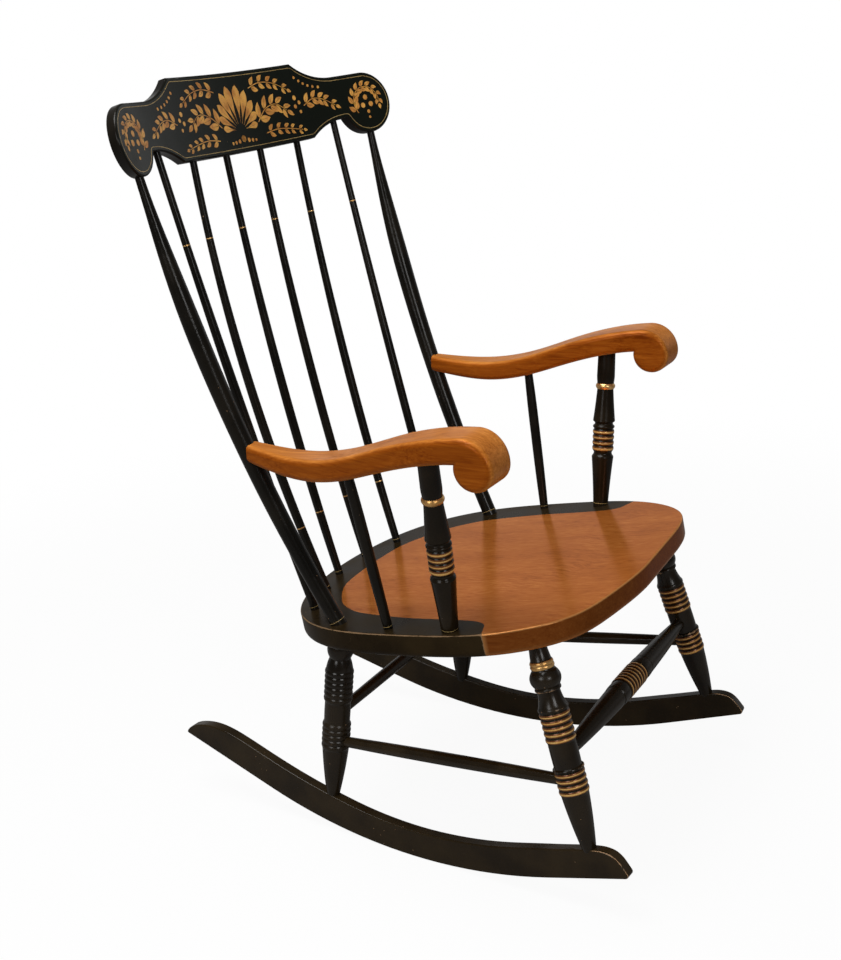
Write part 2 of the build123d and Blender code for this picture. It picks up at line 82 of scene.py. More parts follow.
class EdgeCue(Enum):
    """How a painted piece knows its exposed edges."""

    TURNED = "wear given with the points of a turned piece"
    BOARD = "rounded edge of an upright board, most at its front end"
    CREST = "rounded edge of the crest rail"
    NONE = "no exposed edge"


class Gilt(IntEnum):
    """Finish of a stretch of a turned or bent piece, as its place in the piece's list of materials."""

    NONE = 0
    BAND = 1
    BEAD = 2
    LINE = 3


def shop(x: float, y: float, z: float) -> Vector:
    """Point of the row frame in metres, from the workshop's millimetres."""
    return Vector((x, y - DEPTH_MID, z + FLOOR_DROP)) * MM


def flip(point: Vector, side: Side) -> Vector:
    """The same point on the given side of the chair."""
    return Vector((point.x * side.value, point.y, point.z))


def smooth_line(points: Sequence[Flat], steps: int) -> list[Flat]:
    """Smooth open line through flat points.

    Args:
        points: Points that the line passes through.
        steps: Spans between one point and the next.

    Returns:
        The points of the line, both ends included.
    """
    ends = [points[0], *points, points[-1]]
    line = []
    for i in range(1, len(ends) - 2):
        p0, p1, p2, p3 = (np.array(ends[i + k]) for k in (-1, 0, 1, 2))
        for step in range(steps):
            t = step / steps
            cubic = 2 * p0 - 5 * p1 + 4 * p2 - p3 + t * (3 * (p1 - p2) + p3 - p0)
            at = p1 + 0.5 * t * (p2 - p0 + t * cubic)
            line.append((float(at[0]), float(at[1])))
    line.append(tuple(points[-1]))
    return line


def arc_through(start: Flat, middle: Flat, end: Flat, steps: int) -> list[Flat]:
    """Points of a circular arc.

    Args:
        start: First point.
        middle: Any point of the arc between its ends.
        end: Last point.
        steps: Spans along the arc.

    Returns:
        The arc's points, both ends included.
    """
    a, b, c = (complex(*point) for point in (start, middle, end))
    ratio = (c - a) / (b - a)
    centre = a + (b - a) * (ratio - abs(ratio) ** 2) / (2j * ratio.imag)
    spoke = a - centre
    sweep = cmath.phase((c - centre) / spoke) % (2 * math.pi)
    if cmath.phase((b - centre) / spoke) < 0:
        sweep -= 2 * math.pi
    arc = [centre + spoke * cmath.exp(1j * sweep * i / steps) for i in range(steps + 1)]
    return [(point.real, point.imag) for point in arc]


def even_loop(points: np.ndarray, count: int) -> np.ndarray:
    """Closed flat line with evenly spaced points.

    Args:
        points: Points of the closed line, in order.
        count: How many points the new line has.

    Returns:
        The new points, starting at the first old one.
    """
    ring = np.vstack([points, points[:1]])
    run = np.concatenate([[0.0], np.cumsum(np.hypot(*np.diff(ring, axis=0).T))])
    at = np.linspace(0.0, run[-1], count, endpoint=False)
    return np.column_stack([np.interp(at, run, ring[:, 0]), np.interp(at, run, ring[:, 1])])


def normals(line: np.ndarray, closed: bool = True) -> np.ndarray:
    """Unit normals of a flat line, to the left of its direction.

    Args:
        line: Points of the line, in order.
        closed: Whether it runs back to its first point.

    Returns:
        One normal for each point.
    """
    along = np.roll(line, -1, axis=0) - np.roll(line, 1, axis=0) if closed else np.gradient(line, axis=0)
    return np.column_stack([-along[:, 1], along[:, 0]]) / np.maximum(np.hypot(*along.T), TINY)[:, None]


def beside(point: Flat, distance: float, angle: float) -> Flat:
    """Flat point at a distance from another one, in a direction given in degrees."""
    turn = math.radians(angle)
    return (point[0] + distance * math.cos(turn), point[1] + distance * math.sin(turn))


def bearing(start: Flat, end: Flat) -> float:
    """Direction from one flat point to another, in degrees."""
    return math.degrees(math.atan2(end[1] - start[1], end[0] - start[0]))


def hoop(centre: Vector, way: Vector, side: Vector, radius: float, count: int) -> list[Vector]:
    """Points of a circle.

    Args:
        centre: Its centre.
        way: Direction of its axis.
        side: Direction of its first point.
        radius: Its radius in metres.
        count: How many points it has.

    Returns:
        The points, in order.
    """
    front = way.cross(side)
    turns = [2 * math.pi * i / count for i in range(count)]
    return [centre + (side * math.cos(t) + front * math.sin(t)) * radius for t in turns]


class Graph:
    """Short way of writing a shader node tree."""

    # Numbers of a mix node's sockets for colours
    COLOUR_A = 6
    COLOUR_B = 7
    COLOUR_OUT = 2

    def __init__(self, tree: Tree) -> None:
        """Keeps the tree that the nodes go into."""
        self.tree = tree

    def add(self, kind: str, **settings: object) -> Node:
        """Adds a node.

        Args:
            kind: The node's type name.
            **settings: Values of the node's own properties.

        Returns:
            The new node.
        """
        node = self.tree.nodes.new(kind)
        for name, value in settings.items():
            setattr(node, name, value)
        return node

    def feed(self, socket: Socket, value: Value) -> None:
        """Links a socket to another one, or sets its value.

        Args:
            socket: The input.
            value: Another node's output, or a constant; a colour has no alpha.
        """
        if isinstance(value, Socket):
            self.tree.links.new(value, socket)
        else:
            socket.default_value = (*value, 1.0) if socket.type == "RGBA" else value

    def fill(self, node: Node, given: Mapping[Key, Value]) -> None:
        """Feeds inputs of a node by their names or numbers."""
        for key, value in given.items():
            self.feed(node.inputs[key], value)

    def result(self, kind: str, given: Mapping[Key, Value], output: Key = 0, **settings: object) -> Socket:
        """Output of a new node.

        Args:
            kind: The node's type name.
            given: Values of its inputs, by name or number.
            output: Name or number of the output.
            **settings: Values of the node's own properties.

        Returns:
            The output.
        """
        node = self.add(kind, **settings)
        self.fill(node, given)
        return node.outputs[output]

    def math(self, operation: str, a: Value, b: Value = 0.0, clamp: bool = False) -> Socket:
        """Result of a sum, kept between 0 and 1 where it is clamped."""
        return self.result("ShaderNodeMath", {0: a, 1: b}, operation=operation, use_clamp=clamp)

    def ease(self, value: Value, low: float, high: float) -> Socket:
        """Value brought smoothly from 0 at low to 1 at high."""
        given = {"Value": value, "From Min": low, "From Max": high}
        return self.result("ShaderNodeMapRange", given, interpolation_type="SMOOTHSTEP")

    def spread(self, value: Value, low: float, high: float) -> Socket:
        """Value from 0 to 1 spread between two numbers."""
        return self.result("ShaderNodeMapRange", {"Value": value, "To Min": low, "To Max": high})

    def mix(self, share: Value, first: Value, second: Value, blend: str = "MIX") -> Socket:
        """Mixture of two colours with this share of the second."""
        given = {0: share, self.COLOUR_A: first, self.COLOUR_B: second}
        return self.result("ShaderNodeMix", given, self.COLOUR_OUT, data_type="RGBA", blend_type=blend)

    def noise(self, at: Value, scale: Value, detail: float = 3.0, rough: float = 0.55) -> Socket:
        """Noise round 0.5: features in a metre, octaves, and the weight of the finer ones."""
        given = {"Vector": at, "Scale": scale, "Detail": detail, "Roughness": rough}
        return self.result("ShaderNodeTexNoise", given)

    def place(self) -> Socket:
        """Place on the object in metres."""
        return self.result("ShaderNodeTexCoord", {}, "Object")

    def part(self, vector: Value, axis: str) -> Socket:
        """X, Y or Z of a vector."""
        return self.result("ShaderNodeSeparateXYZ", {0: vector}, axis)

    def dot(self, first: Value, second: Value) -> Socket:
        """Scalar product of two vectors."""
        given = {0: first, 1: second}
        return self.result("ShaderNodeVectorMath", given, "Value", operation="DOT_PRODUCT")

    def facing(self, direction: Sequence[float]) -> Socket:
        """How far the surface faces along or against a direction, 0 to 1."""
        normal = self.result("ShaderNodeNewGeometry", {}, "Normal")
        return self.math("ABSOLUTE", self.dot(normal, tuple(direction)))

    def wear(self) -> Socket:
        """How exposed the surface is, as its piece's points say."""
        return self.result("ShaderNodeAttribute", {}, "Fac", attribute_name=Skin.WEAR)

    def use(self, group: Tree, **inputs: Value) -> Socket:
        """First output of a node group with these inputs."""
        return self.result("ShaderNodeGroup", inputs, node_tree=group)

    def bump(self, height: Value, strength: float, distance: float) -> Socket:
        """Normal of a surface with bumps that are this strong and rise this many metres."""
        return self.result("ShaderNodeBump", {"Height": height, "Strength": strength, "Distance": distance})


class Effects:
    """Node groups that several finishes share, each built once.

    A noise is given by its scale, its detail and the weight of its finer octaves.
    """

    RUB_BROAD = (34.0, 6.0, 0.66)
    RUB_FINE = (210.0, 3.0, 0.6)
    RUB_FINE_SHARE = 0.28
    RUB_SOFTNESS = 0.11
    NICK_RIM = (0.05, 0.1)
    NICK_PATCHES = (11.0, 2.0)
    NICK_GATE = (0.56, 0.64)
    CLOUD_OCTAVES = (4.0, 0.5)
    CLOUD_REACH = (0.3, 0.7)
    CLOUD_FINE = (480.0, 2.0, 0.6)
    GRAIN_DRIFT = (5.0, 2.0, 0.5)
    GRAIN_DRIFT_REACH = 0.09
    GRAIN_SHEETS = ((24.0, 1.6), (150.0, 5.0), (430.0, 17.0))
    GRAIN_NOISE = (1.0, 3.0, 0.6)
    FIGURE_REACH = (0.22, 0.78)

    def __init__(self) -> None:
        """Builds the four groups."""
        self.rubbed = self._rubbed()
        self.nicked = self._nicked()
        self.mottled = self._mottled()
        self.grained = self._grained()

    @staticmethod
    def _start(
        name: str, inputs: Sequence[str], output: str
    ) -> tuple[Graph, Mapping[str, Socket], Socket]:
        """Starts a group with a place input, further values and one output.

        Args:
            name: The group's name.
            inputs: Names of the values besides the place.
            output: Name of the output.

        Returns:
            The graph, what its input node gives, and the socket of its result.
        """
        tree = bpy.data.node_groups.new(name, "ShaderNodeTree")
        tree.interface.new_socket("Place", in_out="INPUT", socket_type="NodeSocketVector")
        for given in inputs:
            tree.interface.new_socket(given, in_out="INPUT", socket_type="NodeSocketFloat")
        tree.interface.new_socket(output, in_out="OUTPUT", socket_type="NodeSocketFloat")
        graph = Graph(tree)
        return graph, graph.add("NodeGroupInput").outputs, graph.add("NodeGroupOutput").inputs[0]

    def _rubbed(self) -> Tree:
        """Paint rubbed through in patches, the more the more an edge stands out.

        Returns:
            The group's tree.
        """
        graph, given, result = self._start("Rubbed edge", ("Edge", "Amount"), "Bare")
        broad = graph.noise(given["Place"], *self.RUB_BROAD)
        fine = graph.noise(given["Place"], *self.RUB_FINE)
        wide = graph.math("MULTIPLY", broad, 1.0 - self.RUB_FINE_SHARE)
        patch = graph.math("ADD", wide, graph.math("MULTIPLY", fine, self.RUB_FINE_SHARE))
        reach = graph.math("MULTIPLY", given["Edge"], given["Amount"])
        over = graph.math("SUBTRACT", graph.math("ADD", patch, reach), 1.0)
        graph.feed(result, graph.ease(over, 0.0, self.RUB_SOFTNESS))
        return graph.tree

    def _nicked(self) -> Tree:
        """Tiny chips, gathered in a few places.

        Returns:
            The group's tree.
        """
        graph, given, result = self._start("Nicks", ("Scale", "Amount"), "Nick")
        cells = {"Vector": given["Place"], "Scale": given["Scale"]}
        middle = graph.result("ShaderNodeTexVoronoi", cells, "Distance")
        chip = graph.math("SUBTRACT", 1.0, graph.ease(middle, *self.NICK_RIM))
        gate = graph.ease(graph.noise(given["Place"], *self.NICK_PATCHES), *self.NICK_GATE)
        nick = graph.math("MULTIPLY", graph.math("MULTIPLY", chip, gate), given["Amount"], True)
        graph.feed(result, nick)
        return graph.tree

    def _mottled(self) -> Tree:
        """Slow clouding with a finer grain in it.

        Returns:
            The group's tree.
        """
        graph, given, result = self._start("Mottle", ("Scale", "Fine"), "Cloud")
        cloud = graph.noise(given["Place"], given["Scale"], *self.CLOUD_OCTAVES)
        fine = graph.noise(given["Place"], *self.CLOUD_FINE)
        low = graph.math("MULTIPLY", graph.math("SUBTRACT", fine, 0.5), given["Fine"])
        slow = graph.ease(cloud, *self.CLOUD_REACH)
        graph.feed(result, graph.math("ADD", slow, low, True))
        return graph.tree

    def _grained(self) -> Tree:
        """Wood grain that runs along y: slow figure, growth lines and short pores.

        Returns:
            The group's tree.
        """
        graph, given, result = self._start("Grain", ("Figure", "Lines", "Pores"), "Tone")
        x, y, z = (graph.part(given["Place"], axis) for axis in "XYZ")
        drift = graph.noise(given["Place"], *self.GRAIN_DRIFT)
        across = graph.math("ADD", x, graph.math("MULTIPLY", drift, self.GRAIN_DRIFT_REACH))
        sheets = []
        for broad, slow in self.GRAIN_SHEETS:
            pairs = enumerate(((across, broad), (y, slow), (z, broad)))
            scaled = {axis: graph.math("MULTIPLY", *pair) for axis, pair in pairs}
            sheets.append(graph.noise(graph.result("ShaderNodeCombineXYZ", scaled), *self.GRAIN_NOISE))
        lines = graph.math("MULTIPLY", graph.math("SUBTRACT", sheets[1], 0.5), given["Lines"])
        pores = graph.math("MULTIPLY", graph.math("SUBTRACT", sheets[2], 0.5), given["Pores"])
        slow = graph.math("SUBTRACT", graph.ease(sheets[0], *self.FIGURE_REACH), 0.5)
        figure = graph.math("ADD", graph.math("MULTIPLY", slow, given["Figure"]), 0.5)
        graph.feed(result, graph.math("ADD", figure, graph.math("ADD", lines, pores), True))
        return graph.tree


def finish_sheet(name: str) -> tuple[Material, Graph, Node]:
    """Starts a material.

    Args:
        name: The material's name.

    Returns:
        The material, its graph and its shader.
    """
    material = bpy.data.materials.new(name)
    material.use_nodes = True
    graph = Graph(material.node_tree)
    return material, graph, material.node_tree.nodes["Principled BSDF"]


@dataclass(frozen=True)
class BlackPaint:
    """Semi-gloss black paint, rubbed through at its edges and nicked."""

    name: str
    cue: EdgeCue
    rub: float = 0.42
    nicks: float = 0.7
    paint: Colour = (0.0155, 0.0095, 0.0038)
    thin: Colour = (0.031, 0.0195, 0.0075)
    face: Colour = (0.0074, 0.0062, 0.0048)
    bare: Colour = (0.42, 0.25, 0.13)
    specular: float = 0.3
    roughness: Flat = (0.14, 0.27)
    worn_to: Flat = (-0.345, -0.305)      # y in metres over which the wear of a front end fades
    sheltered: float = 0.3                # wear behind it
    edge_gain: float = 4.2
    flat_from: float = 0.985              # facing from which a surface counts as flat
    face_reach: Flat = (0.86, 0.91)       # facing over which the front face's colour takes over
    cloud_scale: float = 16.0
    cloud_fine: float = 0.5
    nick_scale: float = 105.0
    bare_roughness: float = 0.25
    bare_depth: float = 0.8
    pebble_scale: float = 260.0
    relief: Flat = (0.16, 0.0004)

    def edge(self, graph: Graph) -> Value:
        """How exposed the surface is.

        Args:
            graph: Graph that takes the nodes.

        Returns:
            A value from 0 to 1.
        """
        if self.cue is EdgeCue.TURNED:
            return graph.wear()
        if self.cue is EdgeCue.NONE:
            return 0.0
        facing = graph.facing(CrestRail.FRONT if self.cue is EdgeCue.CREST else (1.0, 0.0, 0.0))
        slanted = graph.math("MULTIPLY", facing, graph.math("SUBTRACT", self.flat_from, facing, True))
        edge = graph.math("MULTIPLY", slanted, self.edge_gain, True)
        if self.cue is EdgeCue.CREST:
            return edge
        behind = graph.ease(graph.part(graph.place(), "Y"), *self.worn_to)
        return graph.math("MULTIPLY", edge, graph.spread(behind, 1.0, self.sheltered))

    def make(self, effects: Effects) -> Material:
        """Builds the material.

        Args:
            effects: The shared node groups.

        Returns:
            The material.
        """
        material, graph, shader = finish_sheet(self.name)
        at = graph.place()
        cloud = graph.use(effects.mottled, Place=at, Scale=self.cloud_scale, Fine=self.cloud_fine)
        bare = graph.use(effects.rubbed, Place=at, Edge=self.edge(graph), Amount=self.rub)
        nick = graph.use(effects.nicked, Place=at, Scale=self.nick_scale, Amount=self.nicks)
        coat = graph.mix(cloud, self.paint, self.thin)
        if self.cue is EdgeCue.CREST:
            ahead = graph.ease(graph.facing(CrestRail.FRONT), *self.face_reach)
            coat = graph.mix(ahead, coat, self.face)
        worn = graph.math("MAXIMUM", bare, nick)
        dull = graph.math("MULTIPLY", worn, self.bare_roughness)
        sunk = graph.math("MULTIPLY", worn, self.bare_depth)
        height = graph.math("SUBTRACT", graph.noise(at, self.pebble_scale), sunk)
        graph.fill(shader, {
            "Base Color": graph.mix(worn, coat, self.bare),
            "Roughness": graph.math("ADD", graph.spread(cloud, *self.roughness), dull),
            "Specular IOR Level": self.specular,
            "Normal": graph.bump(height, *self.relief),
        })
        return material


@dataclass(frozen=True)
class GoldPaint:
    """Bronze-gold paint, worn thin in spots; a bead carries a painted highlight along its ridge and a brown
    rim at its sides, partly dark glaze and partly painted shade.
    """

    name: str
    bright: Colour = (1.0, 0.64, 0.26)
    dull: Colour = (0.6, 0.3, 0.085)
    under: Colour = (0.02, 0.014, 0.009)
    wear: float = 0.34
    metallic: float = 0.8
    roughness: Flat = (0.24, 0.36)
    # Brown at a bead's sides: partly dark glaze, partly painted shade
    rim: Colour = (0.17, 0.055, 0.012)
    core: Flat | None = None              # exposure over which a bead turns from its rim to the bright painted highlight on its ridge
    cloud_scale: float = 62.0
    cloud_fine: float = 0.9
    relief: Flat = (0.12, 0.0003)

    def make(self, effects: Effects) -> Material:
        """Builds the material.

        Args:
            effects: The shared node groups.

        Returns:
            The material.
        """
        material, graph, shader = finish_sheet(self.name)
        at = graph.place()
        cloud = graph.use(effects.mottled, Place=at, Scale=self.cloud_scale, Fine=self.cloud_fine)
        worn = graph.use(effects.rubbed, Place=at, Edge=cloud, Amount=self.wear)
        gold = graph.mix(cloud, self.dull, self.bright)
        # Painted highlight along a bead's ridge, fading to the brown rim at its sides
        if self.core:
            gold = graph.mix(graph.ease(graph.wear(), *self.core), self.rim, gold)
        graph.fill(shader, {
            "Base Color": graph.mix(worn, gold, self.under),
            "Roughness": graph.spread(cloud, *reversed(self.roughness)),
            "Metallic": self.metallic,
            "Normal": graph.bump(cloud, *self.relief),
        })
        return material


@dataclass(frozen=True)
class ClearWood:
    """Honey-brown wood under a satin clear coat, its grain running along y, with painted shade on its sides
    and pale rubbed edges that are partly a painted highlight.
    """

    name: str
    dark: Colour = (0.33, 0.085, 0.009)
    middle: Colour = (0.57, 0.188, 0.029)
    light: Colour = (0.76, 0.29, 0.058)
    # Pale colour of rubbed edges, partly a painted highlight on the seat's rounded top edge
    edge: Colour = (0.7, 0.36, 0.13)
    edge_wear_and_highlight_share: float = 0.45
    boards: float = 0.0                   # width of a board in metres, or 0 for one piece
    board_share: float = 0.22
    figure: float = 0.55
    lines: float = 1.05
    pores: float = 1.4
    roughness: Flat = (0.3, 0.42)
    specular: float = 0.14
    lustre: float = 0.14
    tint: Colour = (1.0, 0.5, 0.2)
    # Painted shade: the wood is multiplied by the side shade by how it faces this axis, so that its sides
    # read darker than its lit faces
    painted_shade_axis: Place = (1.0, 0.0, 0.0)
    painted_shade_reach: Flat = (0.92, 0.5)        # facing along painted_shade_axis with the full painted side shade, and with none
    painted_side_shade: Colour = (0.55, 0.38, 0.16)
    deep_to: Flat = (0.0, 0.55)
    light_from: Flat = (0.45, 1.0)
    cloud_scale: float = 9.0
    cloud_fine: float = 0.25
    cloud_share: float = 0.35
    nick_scale: float = 70.0
    nicks: float = 0.35
    coat: float = 0.04
    coat_roughness: float = 0.12
    relief: Flat = (0.1, 0.0003)

    def make(self, effects: Effects) -> Material:
        """Builds the material.

        Args:
            effects: The shared node groups.

        Returns:
            The material.
        """
        material, graph, shader = finish_sheet(self.name)
        at = graph.place()
        tone = graph.use(effects.grained, Place=at, Figure=self.figure, Lines=self.lines, Pores=self.pores)
        stain = graph.mix(graph.ease(tone, *self.deep_to), self.dark, self.middle)
        stain = graph.mix(graph.ease(tone, *self.light_from), stain, self.light)
        cloud = graph.use(effects.mottled, Place=at, Scale=self.cloud_scale, Fine=self.cloud_fine)
        stain = graph.mix(graph.math("MULTIPLY", cloud, self.cloud_share), stain, self.middle)
        if self.boards:
            number = graph.math("FLOOR", graph.math("DIVIDE", graph.part(at, "X"), self.boards))
            pick = graph.result("ShaderNodeTexWhiteNoise", {"W": number}, noise_dimensions="1D")
            stain = graph.mix(graph.math("MULTIPLY", pick, self.board_share), stain, self.dark)
        nick = graph.use(effects.nicked, Place=at, Scale=self.nick_scale, Amount=self.nicks)
        # Painted shade on the sides, where less light falls
        pale = graph.ease(graph.facing(self.painted_shade_axis), *self.painted_shade_reach)
        shade = graph.mix(pale, self.painted_side_shade, (1.0, 1.0, 1.0))
        stain = graph.mix(1.0, stain, shade, "MULTIPLY")
        # Rubbed edges turn pale: partly wear, partly a painted highlight on the rounded edge
        rub = graph.math("MULTIPLY", graph.wear(), self.edge_wear_and_highlight_share, True)
        stain = graph.mix(rub, stain, self.edge)
        graph.fill(shader, {
            "Base Color": graph.mix(nick, stain, self.dark),
            "Roughness": graph.spread(cloud, *self.roughness),
            "Specular IOR Level": self.specular,
            "Specular Tint": self.tint,
            "Metallic": self.lustre,
            "Coat Weight": self.coat,
            "Coat Roughness": self.coat_roughness,
            "Normal": graph.bump(tone, *self.relief),
        })
        return material


@dataclass(frozen=True)
class ScrewSteel:
    """Plain steel of the screws, a little dull."""

    name: str
    dark: Colour = (0.32, 0.31, 0.3)
    light: Colour = (0.58, 0.57, 0.55)
    roughness: Flat = (0.28, 0.5)
    cloud_scale: float = 240.0

    def make(self, effects: Effects) -> Material:
        """Builds the material.

        Args:
            effects: The shared node groups.

        Returns:
            The material.
        """
        material, graph, shader = finish_sheet(self.name)
        cloud = graph.use(effects.mottled, Place=graph.place(), Scale=self.cloud_scale, Fine=1.0)
        graph.fill(shader, {
            "Base Color": graph.mix(cloud, self.dark, self.light),
            "Roughness": graph.spread(cloud, *self.roughness),
            "Metallic": 1.0,
        })
        return material


class Palette:
    """The chair's finishes, each made once."""

    def __init__(self, effects: Effects) -> None:
        """Makes every finish.

        Args:
            effects: The shared node groups.
        """
        soft = {"paint": (0.009, 0.006, 0.003), "thin": (0.021, 0.0135, 0.006), "roughness": (0.16, 0.28)}
        self.turned = BlackPaint("black_turned", EdgeCue.TURNED, specular=0.18, **soft).make(effects)
        matt = {"specular": 0.05, "roughness": (0.26, 0.38), "bare": (0.24, 0.15, 0.08)}
        self.band = BlackPaint("black_band", EdgeCue.TURNED, rub=0.68, **matt).make(effects)
        self.leg = BlackPaint("black_leg", EdgeCue.TURNED, rub=0.54, nicks=1.0, **soft).make(effects)
        self.runner = BlackPaint("black_runner", EdgeCue.BOARD, rub=0.66, specular=0.22).make(effects)
        self.bar = BlackPaint("black_bar", EdgeCue.NONE, nicks=0.9).make(effects)
        deep = {"paint": (0.0058, 0.005, 0.0038), "thin": (0.0112, 0.0088, 0.0058), "specular": 0.17}
        self.rod = BlackPaint("black_rod", EdgeCue.NONE, nicks=0.9, **deep).make(effects)
        green = (0.0066, 0.0088, 0.0056)
        crest = BlackPaint("black_crest", EdgeCue.CREST, rub=0.3, nicks=0.4, face=green, **deep)
        self.crest = crest.make(effects)
        self.ring = GoldPaint("gold_ring").make(effects)
        # Beads: a painted highlight along the ridge and a brown rim at the sides, partly painted shade
        core = {"bright": (1.0, 0.62, 0.2), "dull": (0.9, 0.46, 0.115), "wear": 0.26, "metallic": 0.4}
        self.bead = GoldPaint("gold_bead_painted_highlight", core=(0.42, 0.8), **core).make(effects)
        strong = {"bright": (1.0, 0.52, 0.11), "dull": (0.6, 0.235, 0.045), "wear": 0.34, "metallic": 0.05}
        self.stencil = GoldPaint("gold_stencil", **strong).make(effects)
        faint = {"bright": (0.55, 0.39, 0.15), "dull": (0.33, 0.22, 0.08), "wear": 0.34, "metallic": 0.1}
        self.line = GoldPaint("gold_line", **faint).make(effects)
        self.gilding = (self.ring, self.bead, self.line)
        warm = {"dark": (0.33, 0.088, 0.013), "middle": (0.51, 0.155, 0.028), "light": (0.66, 0.235, 0.051)}
        shiny = {"specular": 0.07, "lustre": 0.35, "roughness": (0.14, 0.23), "figure": 0.45, "lines": 0.8}
        # Painted shade: the seat's edges darker than its top
        top = {"painted_shade_axis": (0.0, 0.157, 0.988), "painted_shade_reach": (0.3, 0.8), "painted_side_shade": (0.4, 0.36, 0.33)}
        self.seat = ClearWood("clear_seat", boards=0.104, **warm, **shiny, **top).make(effects)
        # The arms take the default painted shade on their sides
        self.arm = ClearWood("clear_arm").make(effects)
        self.steel = ScrewSteel("screw_head_steel").make(effects)


def settle(piece: bpy.types.Object, slot: str, *nodes: str) -> None:
    """Ties a new piece to the frame.

    Args:
        piece: The new piece.
        slot: Name of a material slot; not used.
        *nodes: CAD nodes that the piece stands for.
    """
    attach(piece, BODY)
    if nodes:
        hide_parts(*nodes)
    LOG.info("%s: %d faces", piece.name, len(piece.data.polygons))


def both(name: str) -> list[str]:
    """Names of the two nodes of a pair."""
    return [f"{name}_{side.tag}" for side in Side]


def dress(material: Material, *nodes: str) -> None:
    """Gives CAD nodes their finish.

    Args:
        material: The finish.
        *nodes: Names of the nodes.
    """
    for node in nodes:
        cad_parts[node].data.materials.clear()
        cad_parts[node].data.materials.append(material)
        LOG.info("%s: dressed in %s", node, material.name)


@dataclass
class Skin:
    """Mesh under construction: points, faces, the finish of each face and the wear of each point."""

    WEAR = "rub"

    points: list[Vector] = field(default_factory=list)
    faces: list[list[int]] = field(default_factory=list)
    finishes: list[int] = field(default_factory=list)
    wear: list[float] = field(default_factory=list)

    def add_points(self, points: Sequence[Vector], wear: float = 0.0) -> list[int]:
        """Adds points.

        Args:
            points: The new points.
            wear: How exposed they are, from 0 to 1.

        Returns:
            Their numbers.
        """
        first = len(self.points)
        self.points += points
        self.wear += [wear] * len(points)
        return list(range(first, len(self.points)))

    def add_face(self, corners: Sequence[int], finish: int = 0) -> None:
        """Adds a face."""
        self.faces.append(list(corners))
        self.finishes.append(finish)

    def join(self, low: Sequence[int], high: Sequence[int], finish: Callable[[int], int]) -> None:
        """Joins two closed rings with a band of faces.

        Args:
            low: Point numbers of the first ring.
            high: Point numbers of the second ring.
            finish: Gives each face's finish from its number round the ring.
        """
        count = len(low)
        for i in range(count):
            j = (i + 1) % count
            self.add_face((low[i], low[j], high[j], high[i]), finish(i))

    def chain(self, rings: Sequence[list[int]], finishes: Sequence[int]) -> None:
        """Joins a row of rings into a round body with closed ends.

        Args:
            rings: Point numbers of each ring, in order.
            finishes: Finish of the band after each ring.
        """
        self.add_face(rings[0][::-1])
        for low, high, finish in zip(rings, rings[1:], finishes):
            self.join(low, high, lambda _, finish=finish: finish)
        self.add_face(rings[-1])

    def piece(self, name: str, materials: Sequence[Material]) -> bpy.types.Object:
        """Makes the object.

        Args:
            name: The piece's name.
            materials: Its finishes, in order.

        Returns:
            The object, smooth-shaded.
        """
        mesh = bpy.data.meshes.new(name)
        mesh.from_pydata([tuple(p) for p in self.points], [], self.faces)
        for material in materials:
            mesh.materials.append(material)
        mesh.polygons.foreach_set("material_index", self.finishes)
        mesh.polygons.foreach_set("use_smooth", [True] * len(self.faces))
        mesh.attributes.new(self.WEAR, "FLOAT", "POINT").data.foreach_set("value", self.wear)
        mesh.update()
        piece = bpy.data.objects.new(name, mesh)
        bpy.context.scene.collection.objects.link(piece)
        return piece


@dataclass(frozen=True)
class Cut:
    """One cut of a turning: length, radius at its end, bulge, and the share that is gilt, and how."""

    BEAD_SHARE = 0.64
    BAND_SHARE = 0.94

    length: float
    radius: float
    bulge: float = 0.0
    share: float = 0.0
    gilt: Gilt = Gilt.NONE

    @classmethod
    def bead(cls, length: float, radius: float, bulge: float) -> "Cut":
        """A bead with a gilt ridge."""
        return cls(length, radius, bulge, cls.BEAD_SHARE, Gilt.BEAD)

    @classmethod
    def band(cls, length: float, radius: float, bulge: float) -> "Cut":
        """A ring that is gilt nearly all over."""
        return cls(length, radius, bulge, cls.BAND_SHARE, Gilt.BAND)

    @classmethod
    def line(cls, length: float, radius: float) -> "Cut":
        """A narrow gilt line."""
        return cls(length, radius, 0.0, 1.0, Gilt.LINE)


